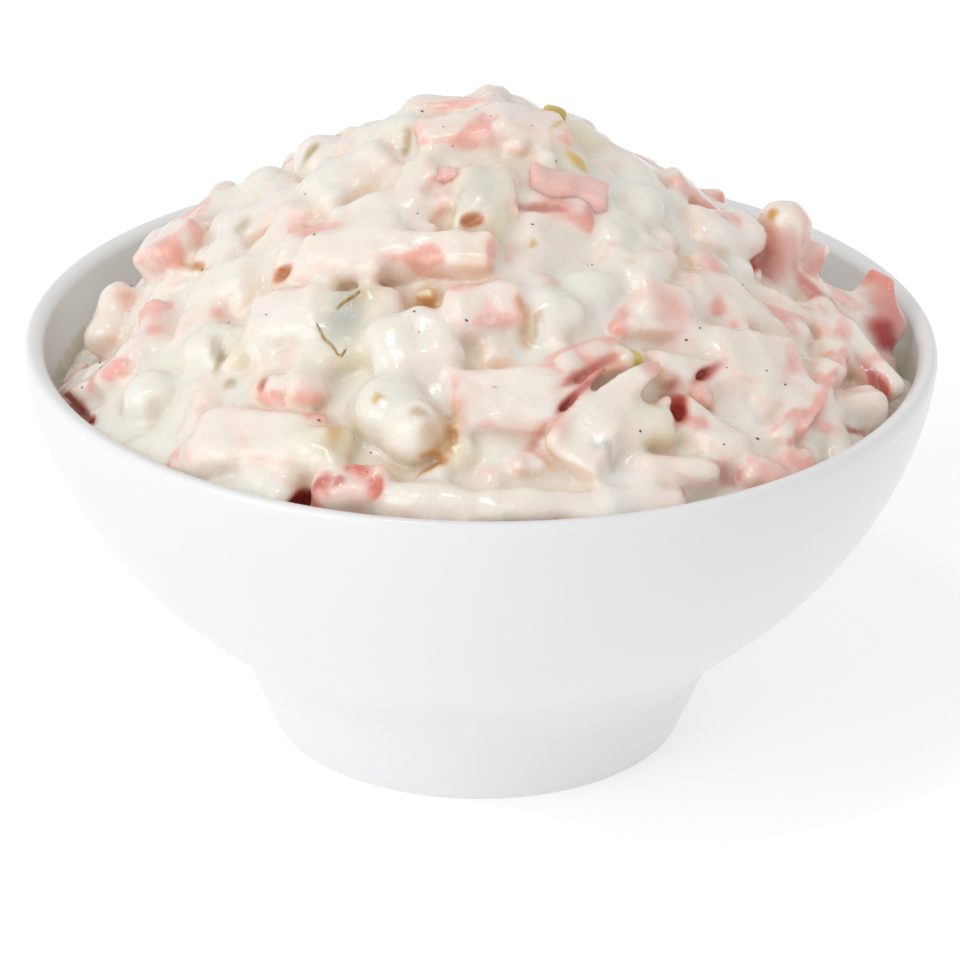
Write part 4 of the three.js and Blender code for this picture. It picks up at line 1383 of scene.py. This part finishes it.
def bowl_section():
    """The bowl's section from the middle of the well, over the lip and down to the recess."""
    height = bowl_size("rim_height")
    lip_foot = height - LIP_DROP
    peak = bowl_size("rim_radius") - LIP_PEAK_INSET
    inside = float(inner_radius(lip_foot))
    outside = float(outer_radius(lip_foot))
    foot = float(outer_radius(FOOT_EDGE))
    ring = bowl_size("foot_radius") - FOOT_RING
    points = [(0.0, WELL_FLOOR)]
    for i in range(1, INNER_STEPS + 1):
        z = mix(WELL_FLOOR, lip_foot, (i / INNER_STEPS) ** INNER_CROWDING)
        points.append((float(inner_radius(z)), z))
    for cosine, sine in quarter_turn(LIP_STEPS):
        points.append((inside + (peak - inside) * (1 - cosine), lip_foot + LIP_DROP * sine))
    for cosine, sine in quarter_turn(LIP_STEPS):
        points.append((peak + (outside - peak) * sine, height - LIP_DROP * (1 - cosine)))
    for i in range(1, OUTER_STEPS + 1):
        z = mix(lip_foot, FOOT_EDGE, i / OUTER_STEPS)
        points.append((float(outer_radius(z)), z))
    for cosine, sine in quarter_turn(EDGE_STEPS):
        points.append((foot - FOOT_EDGE * (1 - cosine), FOOT_EDGE * (1 - sine)))
    for cosine, sine in quarter_turn(EDGE_STEPS, 0):
        points.append((ring + FOOT_EDGE * (1 - sine), FOOT_EDGE * (1 - cosine)))
    for i in range(1, RECESS_STEPS + 1):
        share = i / RECESS_STEPS
        points.append((ring - FOOT_EDGE * share, mix(FOOT_EDGE, RECESS_DEPTH - FOOT_EDGE, share)))
    for cosine, sine in quarter_turn(EDGE_STEPS):
        points.append((ring - FOOT_EDGE * (2 - cosine), RECESS_DEPTH - FOOT_EDGE * (1 - sine)))
    for share in (0.75, 0.5, 0.25, 0.0):
        points.append((ring * share, RECESS_DEPTH))
    return points


def turned_mesh(section, sides):
    """Points and faces of a section turned round the upright axis. It starts and ends on it."""
    angles = 2 * np.pi * np.arange(sides) / sides
    points = [(0.0, 0.0, section[0][1])]
    for r, z in section[1:-1]:
        points += [(r * math.cos(a), r * math.sin(a), z) for a in angles]
    points.append((0.0, 0.0, section[-1][1]))
    faces = []
    rings = len(section) - 2
    last = len(points) - 1
    for k in range(sides):
        after = (k + 1) % sides
        faces.append((0, 1 + k, 1 + after))
        end = 1 + (rings - 1) * sides
        faces.append((last, end + after, end + k))
        for ring in range(rings - 1):
            a = 1 + ring * sides
            faces.append((a + k, a + sides + k, a + sides + after, a + after))
    return points, faces


def smear_share(points):
    """How greasy the bowl is at each point: all of it at the heap, and less up the inner wall."""
    x, y, z = points.T
    r = np.hypot(x, y)
    above = z - heap_top(x, y)
    inside = r < inner_radius(np.minimum(z, bowl_size("rim_height") - LIP_DROP)) + 0.1
    return np.where(inside, 1 - smoothstep(above, 0.2, SMEAR_RISE), 0)


class SALAD_OT_bowl(bpy.types.Operator):
    """Turn the porcelain bowl and glaze it"""
    bl_idname = "salad.bowl"
    bl_label = "Porcelain bowl"

    def execute(self, context):
        sides = context.scene.salad_bowl.sides
        points, faces = turned_mesh(bowl_section(), sides)
        made = mesh_object("glazed_bowl", points, faces, porcelain_material(context.scene.salad_finish))
        smear = smear_share(mesh_points(made))
        paint(made, "smear", [smear, smear, smear])
        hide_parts("bowl")
        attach(made, "root")
        return {"FINISHED"}


def closed_below(points, quads):
    """The dressing's mesh with its open underside carried down inside the well and closed."""
    loop, count = open_loop(quads)
    if len(loop) != count:
        raise ValueError(f"the dressing is open in more than one place: {len(loop)} of {count}")
    ring = points[loop]
    angle = np.arctan2(ring[:, 1], ring[:, 0])
    start = ring[:, 2].mean()
    bottom = WELL_FLOOR + GAP
    faces = quads.tolist()
    all_points = [points]
    previous = list(loop)
    total = len(points)
    for i in range(1, CLOSING_STEPS + 1):
        share = 1 - (1 - i / (CLOSING_STEPS + 1)) ** CLOSING_CROWDING
        z = mix(start, bottom, share)
        r = inner_radius(z, GAP)
        all_points.append(np.column_stack([r * np.cos(angle), r * np.sin(angle), np.full(count, z)]))
        now = list(range(total, total + count))
        total += count
        for k in range(count):
            after = (k + 1) % count
            faces.append([previous[after], previous[k], now[k], now[after]])
        previous = now
    all_points.append(np.array([[0.0, 0.0, bottom]]))
    for k in range(count):
        faces.append([previous[(k + 1) % count], previous[k], total])
    return np.vstack(all_points), faces


def painted_share(heap, name, points):
    # Used for the red painted as dark red shadow in hollows and under pieces
    """How much the marks and the hollows give of one thing at each point."""
    return np.maximum(spot_values(name, points), heap.sample(heap.edges_and_shade[name], points))


def closed_share(heap, points, normals, reach, low, high):
    """How much lies close ahead of each point, within a reach, which sets how much shade is painted there.
    """
    air = heap.sample(heap.thick, points + reach * normals) / reach
    return 1 - smoothstep(air, low, high)


def paint_dressing(made, heap):
    """Stores what tints the dressing: what it covers, the shade and shadow painted into its folds, gaps
    and hollows, marks, and how red the sausage is.
    """
    points = mesh_points(made)
    normals = heap.normals(points)
    film = [np.exp(-np.maximum(heap.sample(heap.raw[kind], points), 0) / fade)
            for kind, fade in FILM_FADES.items()]
    # How closed each place is: the shade painted into the folds, which also deepens the painted amber shade
    # of the gaps
    closed = 0.5 * closed_share(heap, points, normals, *NEAR_AIR)
    closed += 0.5 * closed_share(heap, points, normals, *FAR_AIR)
    amber = spot_values("amber", points) * mix(OPEN_AMBER, 1, closed)
    amber = np.maximum(amber, heap.sample(heap.edges_and_shade["amber"], points))
    pink = np.maximum(spot_values("pink", points), heap.sample(heap.edges_and_shade["edge"], points))
    redness = heap.sample(heap.deep, points)
    paint(made, "film", film)
    # Painted dark red shadow, painted amber shade, and the share of fold shade
    paint(made, "hollow", [painted_share(heap, "red", points), amber, closed])
    paint(made, "tints", [spot_values(name, points) for name in ("olive", "yellow", "grey")])
    paint(made, "blush", [pink, redness, redness])


class SALAD_OT_dressing(bpy.types.Operator):
    """Lay the dressing over the heap's pieces"""
    bl_idname = "salad.dressing"
    bl_label = "Dressing"

    def execute(self, context):
        heap = field()
        points, quads = surface_net(heap.thick, heap.origin, heap.step)
        points = relaxed(points, quads, 2, DRESSING_PULL)
        all_points, faces = closed_below(points, quads)
        made = mesh_object("dressing", all_points, faces, dressing_material(context.scene.salad_finish))
        thinned(made, MOST_TRIANGLES)
        paint_dressing(made, heap)
        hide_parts("salad")
        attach(made, "root")
        return {"FINISHED"}


def spot_values(name, points):
    """How much the marks give of one thing at each point."""
    most = np.zeros(len(points), np.float32)
    for spot in MARKS:
        if spot[name]:
            share = mark_share(spot, points[:, 0], points[:, 1], MARK_FULL, MARK_NONE)
            if len(spot["at"]) > 2:
                apart = np.abs(points[:, 2] - spot["at"][2]) / spot["wide"]
                share = share * (1 - smoothstep(apart, HEIGHT_FULL, MARK_NONE))
            most = np.maximum(most, spot[name] * share)
    return most


def thinned(obj, most):
    """Takes triangles out of a piece where it is smoothest, down to a number of them."""
    count = sum(len(face.vertices) - 2 for face in obj.data.polygons)
    if count <= most:
        return
    modifier = obj.modifiers.new("thinned", "DECIMATE")
    modifier.ratio = most / count
    graph = bpy.context.evaluated_depsgraph_get()
    thin = bpy.data.meshes.new_from_object(obj.evaluated_get(graph))
    obj.modifiers.remove(modifier)
    old = obj.data
    obj.data = thin
    bpy.data.meshes.remove(old)
    thin.name = obj.name
    thin.shade_smooth()


def mesh_points(obj):
    """The points of a piece's mesh, in millimetres."""
    flat = np.empty(3 * len(obj.data.vertices))
    obj.data.vertices.foreach_get("co", flat)
    return flat.reshape(-1, 3) / METRES


def pruned(points, quads, keep_point):
    """Only the separate bodies of a mesh that have a point to keep."""
    parent = np.arange(len(points))
    ends = np.vstack([quads[:, [k, (k + 1) % 4]] for k in range(4)])
    while True:
        lowest = parent.copy()
        np.minimum.at(lowest, ends[:, 0], parent[ends[:, 1]])
        np.minimum.at(lowest, ends[:, 1], parent[ends[:, 0]])
        lowest = lowest[lowest]
        if np.array_equal(lowest, parent):
            break
        parent = lowest
    wanted = np.zeros(len(points), bool)
    wanted[parent[keep_point]] = True
    used = wanted[parent]
    number = np.cumsum(used) - 1
    faces = quads[used[quads[:, 0]]]
    return points[used], number[faces]


def bare_piece(heap, kind, name, material):
    """A piece where one kind comes through the dressing, down to a depth in it."""
    shown = np.maximum(heap.bare[kind], -heap.thick - BARE_DEPTH)
    points, quads = surface_net(shown, heap.origin, heap.step)
    points, quads = pruned(points, quads, heap.sample(heap.thick, points) > BARE_SHOWS)
    made = mesh_object(name, relaxed(points, quads, 1, BARE_PULL), quads, material)
    thinned(made, MOST_TRIANGLES)
    return made


class SALAD_OT_sausage(bpy.types.Operator):
    """Show the sausage that stands bare of dressing"""
    bl_idname = "salad.sausage"
    bl_label = "Bare sausage"

    def execute(self, context):
        heap = field()
        made = bare_piece(heap, "sausage", "bare_sausage", sausage_material(context.scene.salad_finish))
        points = mesh_points(made)
        # Shade painted into the creases of the bare sausage
        crease_shade = closed_share(heap, points, heap.normals(points), *BARE_AIR)
        redness = heap.sample(heap.deep, points)
        veil = LEAST_VEIL + VEIL * smoothstep(heap.sample(heap.bumps, points), *VEIL_BUMPS)
        veil = veil * (1 - RED_CLEARS * smoothstep(redness, *RED_RANGE))
        # Painted dark red shadow, painted crease shade, and the veil of mayonnaise
        paint(made, "meat", [painted_share(heap, "red", points), crease_shade, veil])
        paint(made, "tone", [redness, redness, redness])
        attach(made, "root")
        return {"FINISHED"}


class SALAD_OT_gherkins(bpy.types.Operator):
    """Show the bits of gherkin that stand bare of dressing"""
    bl_idname = "salad.gherkins"
    bl_label = "Bare gherkin"

    def execute(self, context):
        material = flesh_material("gherkin_flesh", context.scene.salad_finish.gherkin, PALE_GHERKIN, 420)
        made = bare_piece(field(), "gherkin", "bare_gherkin", material)
        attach(made, "root")
        return {"FINISHED"}


# Pepper specks that the photograph shows, in plan, and how many more lie all over the heap
PEPPER = [
    (28.3, -27.0), (33.0, -25.5), (35.2, -25.4), (31.8, -33.4), (23.7, -23.9), (33.7, -0.6),
    (-24.8, -24.3), (-33.0, -8.9), (-7.6, -32.0), (-12.6, -46.9), (0.8, -3.2), (5.7, -4.2),
    (-3.6, -6.7), (-27.3, -10.7), (-1.7, -30.6), (18.1, -40.1), (25.3, -22.6),
]
MORE_PEPPER = 75
PEPPER_SIZE = (0.1, 0.2)
GRAIN_UNEVEN = (0.7, 1.25)
GRAIN_LENGTHS = (0.8, 1.6)
GRAIN_WIDTHS = (0.7, 1.1)
GRAIN_FLATNESS = 0.6

# Herb stems, each with its radius and its way over the heap in plan
HERB_STEMS = [
    (0.2, [(-16.6, -25.9), (-15.8, -25.4), (-15.0, -25.1), (-14.0, -24.7)]),
    (0.16, [(-18.9, -27.4), (-18.3, -28.3), (-17.7, -29.2), (-17.0, -30.0), (-16.4, -30.6)]),
    (0.13, [(-16.4, -30.6), (-15.9, -30.8), (-15.4, -30.5)]),
]
STEM_SHARES = (0.0, 0.33, 0.67)
STEM_LIFT = 0.3


def surface_point(heap, x, y):
    """The topmost point of the dressing over a point of the plan, and which way it faces."""
    levels = np.arange(GRID_HIGH - 1, GRID_LOW + 1, -LEVEL_STEP)
    column = np.column_stack([np.full_like(levels, x), np.full_like(levels, y), levels])
    inside = heap.sample(heap.thick, column) < 0
    point = column[int(np.argmax(inside))]
    return point, heap.normals(point[None])[0]


def icosahedron():
    """The twelve corners and the twenty faces of an even ball of triangles."""
    golden = (1 + math.sqrt(5)) / 2
    corners = []
    for a in (-1, 1):
        for b in (-golden, golden):
            corners += [(0, a, b), (a, b, 0), (b, 0, a)]
    faces = []
    for i, j, k in itertools.combinations(range(len(corners)), 3):
        a, b, c = np.array(corners)[[i, j, k]]
        if min(a.dot(b), b.dot(c), a.dot(c)) > 1:
            outward = np.cross(b - a, c - a).dot(a + b + c) > 0
            faces.append((i, j, k) if outward else (i, k, j))
    return np.array(corners) / math.hypot(1, golden), faces


def speck(corners, middle, normal, size, draw):
    """The points of a flattened, uneven grain that lies half in the surface."""
    side = np.cross(normal, (0.3, 0.9, 0.1))
    side /= np.linalg.norm(side)
    axes = np.column_stack([side, np.cross(normal, side), normal])
    points = corners * draw.uniform(*GRAIN_UNEVEN, (len(corners), 1)) * size
    points *= (draw.uniform(*GRAIN_LENGTHS), draw.uniform(*GRAIN_WIDTHS), GRAIN_FLATNESS)
    return points @ axes.T + middle


def tube(path, radius, sides=8):
    """Points and faces of a closed round bar along a path, tapered at both its ends."""
    path = np.array(path)
    points = []
    for i, middle in enumerate(path):
        ahead = path[min(i + 1, len(path) - 1)] - path[max(i - 1, 0)]
        ahead /= np.linalg.norm(ahead)
        side = np.cross(ahead, (0, 0, 1))
        side /= np.linalg.norm(side)
        over = np.cross(side, ahead)
        taper = math.sin(math.pi * (i + 0.6) / (len(path) + 0.2)) ** 0.35
        for k in range(sides):
            turn = 2 * math.pi * k / sides
            points.append(middle + radius * taper * (math.cos(turn) * side + math.sin(turn) * over))
    faces = [tuple(range(sides))[::-1]]
    for i in range(len(path) - 1):
        for k in range(sides):
            a = i * sides + k
            b = i * sides + (k + 1) % sides
            faces.append((a, b, b + sides, a + sides))
    faces.append(tuple(range((len(path) - 1) * sides, len(path) * sides)))
    return np.array(points), faces


def joined(parts):
    """One list of points and faces from several."""
    points = []
    faces = []
    total = 0
    for own_points, own_faces in parts:
        points.append(own_points)
        faces += [tuple(k + total for k in face) for face in own_faces]
        total += len(own_points)
    return np.vstack(points), faces


def plain_material(name, colour, pale, scale, rough):
    """Pepper or a stem, in two shades, with a fine uneven skin."""
    shader = Shader(name)
    shader.layered(colour, [(shader.spread(shader.noise(scale), *CLOUDS), pale)])
    shader.set(Roughness=rough, Coat_Weight=0.2, Coat_Roughness=0.2)
    shader.bump(shader.noise(2.5 * scale), 0.00008)
    return shader.material


class SALAD_OT_pepper(bpy.types.Operator):
    """Scatter the pepper specks over the dressing"""
    bl_idname = "salad.pepper"
    bl_label = "Pepper specks"

    def execute(self, context):
        heap = field()
        draw = np.random.default_rng(heap.seed)
        spots = list(PEPPER)
        for _ in range(MORE_PEPPER):
            r = SCRAP_REACH * math.sqrt(draw.uniform())
            turn = draw.uniform(0, 2 * math.pi)
            spots.append((r * math.cos(turn), r * math.sin(turn)))
        corners, sides = icosahedron()
        parts = []
        for x, y in spots:
            middle, normal = surface_point(heap, x, y)
            size = draw.uniform(*PEPPER_SIZE)
            parts.append((speck(corners, middle, normal, size, draw), sides))
        points, faces = joined(parts)
        finish = context.scene.salad_finish
        material = plain_material("pepper_grain", finish.pepper, PALE_PEPPER, 2400, 0.5)
        made = mesh_object("pepper_specks", points, faces, material)
        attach(made, "root")
        return {"FINISHED"}


class SALAD_OT_stems(bpy.types.Operator):
    """Lay the herb stems on the dressing"""
    bl_idname = "salad.stems"
    bl_label = "Herb stems"

    def execute(self, context):
        heap = field()
        parts = []
        for radius, plan in HERB_STEMS:
            path = []
            for (ax, ay), (bx, by) in zip(plan[:-1], plan[1:]):
                for share in STEM_SHARES:
                    path.append(surface_point(heap, mix(ax, bx, share), mix(ay, by, share)))
            path.append(surface_point(heap, *plan[-1]))
            lifted = [middle + STEM_LIFT * radius * normal for middle, normal in path]
            parts.append(tube(lifted, radius))
        points, faces = joined(parts)
        finish = context.scene.salad_finish
        material = plain_material("herb_stem", finish.stem, DARK_STEM, 1500, 0.4)
        made = mesh_object("herb_stems", points, faces, material)
        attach(made, "root")
        return {"FINISHED"}


# The photograph's view
IMAGE = 960
FOCAL_PIXELS = 5000
SENSOR = 36
VIEW_DISTANCE = 611.3
VIEW_ELEVATION = 24.8
VIEW_ROLL = 0.70
AIM_HEIGHT = 30.69
MIDDLE_OFFSET = 0.63

# Soft lights, each with its place in metres, the height it is aimed at, its width, power and colour
LIGHTS = (
    ("key", (-0.92, -0.78, 0.64), 0.04, 1.0, 4.4, (1.0, 0.99, 0.97)),
    ("wall", (-1.3, -1.1, 0.9), 0.03, 1.6, 4.0, WHITE),
    ("glint", (-0.22, -0.30, 1.1), 0.06, 0.2, 1.3, WHITE),
)
SKY_STRENGTH = 0.73
FLOOR_REACH = 4.0
FLOOR_GLOW = 0.46


def add_light(name, at, aim_height, width, power, colour):
    """A round soft light that looks at the middle of the object."""
    light = bpy.data.lights.new(name, "AREA")
    light.shape = "DISK"
    light.size = width
    light.energy = power
    light.color = colour
    lamp = bpy.data.objects.new(name, light)
    lamp.location = at
    direction = np.array((0, 0, aim_height)) - np.array(at)
    lamp.rotation_euler = Matrix(look_rows(direction)).to_euler()
    bpy.context.scene.collection.objects.link(lamp)


def look_rows(direction):
    """Rows of the rotation that turns -Z to a direction, with +Y as near up as can be."""
    back = -direction / np.linalg.norm(direction)
    right = np.cross((0, 0, 1), back)
    right /= np.linalg.norm(right)
    return np.column_stack([right, np.cross(back, right), back]).tolist()


class SALAD_OT_stage(bpy.types.Operator):
    """Set the floor, the lights and the camera"""
    bl_idname = "salad.stage"
    bl_label = "Studio"

    def execute(self, context):
        scene = context.scene
        mesh = bpy.data.meshes.new("floor")
        ways = ((-1, -1), (1, -1), (1, 1), (-1, 1))
        corners = [(FLOOR_REACH * across, FLOOR_REACH * along, 0) for across, along in ways]
        mesh.from_pydata(corners, [], [(0, 1, 2, 3)])
        mesh.materials.append(floor_material(scene.salad_finish))
        floor = bpy.data.objects.new("floor", mesh)
        scene.collection.objects.link(floor)

        for light in LIGHTS:
            add_light(*light)

        scene.world = bpy.data.worlds.new("studio")
        scene.world.use_nodes = True
        sky = scene.world.node_tree.nodes["Background"]
        sky.inputs["Color"].default_value = (*WHITE, 1.0)
        sky.inputs["Strength"].default_value = SKY_STRENGTH

        data = bpy.data.cameras.new("camera")
        data.sensor_width = SENSOR
        data.lens = FOCAL_PIXELS * SENSOR / IMAGE
        data.shift_x = MIDDLE_OFFSET / IMAGE
        camera = bpy.data.objects.new("camera", data)
        tilt = math.radians(VIEW_ELEVATION)
        away = VIEW_DISTANCE * METRES
        place = (0, -away * math.cos(tilt), AIM_HEIGHT * METRES + away * math.sin(tilt))
        roll = Matrix.Rotation(math.radians(VIEW_ROLL), 4, "Z")
        turn = Matrix.Rotation(math.pi / 2 - tilt, 4, "X") @ roll
        camera.matrix_world = Matrix.Translation(place) @ turn
        scene.collection.objects.link(camera)
        scene.camera = camera
        scene.view_settings.view_transform = "Standard"
        return {"FINISHED"}


class SALAD_PT_panel(bpy.types.Panel):
    """Lists the steps of the salad"""
    bl_idname = "SALAD_PT_panel"
    bl_label = "Sausage salad"
    bl_space_type = "VIEW_3D"
    bl_region_type = "UI"
    bl_category = "Salad"

    def draw(self, context):
        for step in STEPS:
            self.layout.operator(step.bl_idname)


STEPS = (
    SALAD_OT_bowl, SALAD_OT_dressing, SALAD_OT_sausage, SALAD_OT_gherkins,
    SALAD_OT_pepper, SALAD_OT_stems, SALAD_OT_stage,
)
GROUPS = (SaladBowlSizes, SaladHeapSizes, SaladFinish)


def register():
    for group in GROUPS + STEPS + (SALAD_PT_panel,):
        bpy.utils.register_class(group)
    bpy.types.Scene.salad_bowl = PointerProperty(type=SaladBowlSizes)
    bpy.types.Scene.salad_heap = PointerProperty(type=SaladHeapSizes)
    bpy.types.Scene.salad_finish = PointerProperty(type=SaladFinish)


def unregister():
    del bpy.types.Scene.salad_finish
    del bpy.types.Scene.salad_heap
    del bpy.types.Scene.salad_bowl
    for group in reversed(GROUPS + STEPS + (SALAD_PT_panel,)):
        bpy.utils.unregister_class(group)


def main():
    register()
    bpy.ops.salad.bowl()
    bpy.ops.salad.dressing()
    bpy.ops.salad.sausage()
    bpy.ops.salad.gherkins()
    bpy.ops.salad.pepper()
    bpy.ops.salad.stems()
    bpy.ops.salad.stage()
    bpy.context.view_layer.update()


if __name__ == "__main__":
    main()
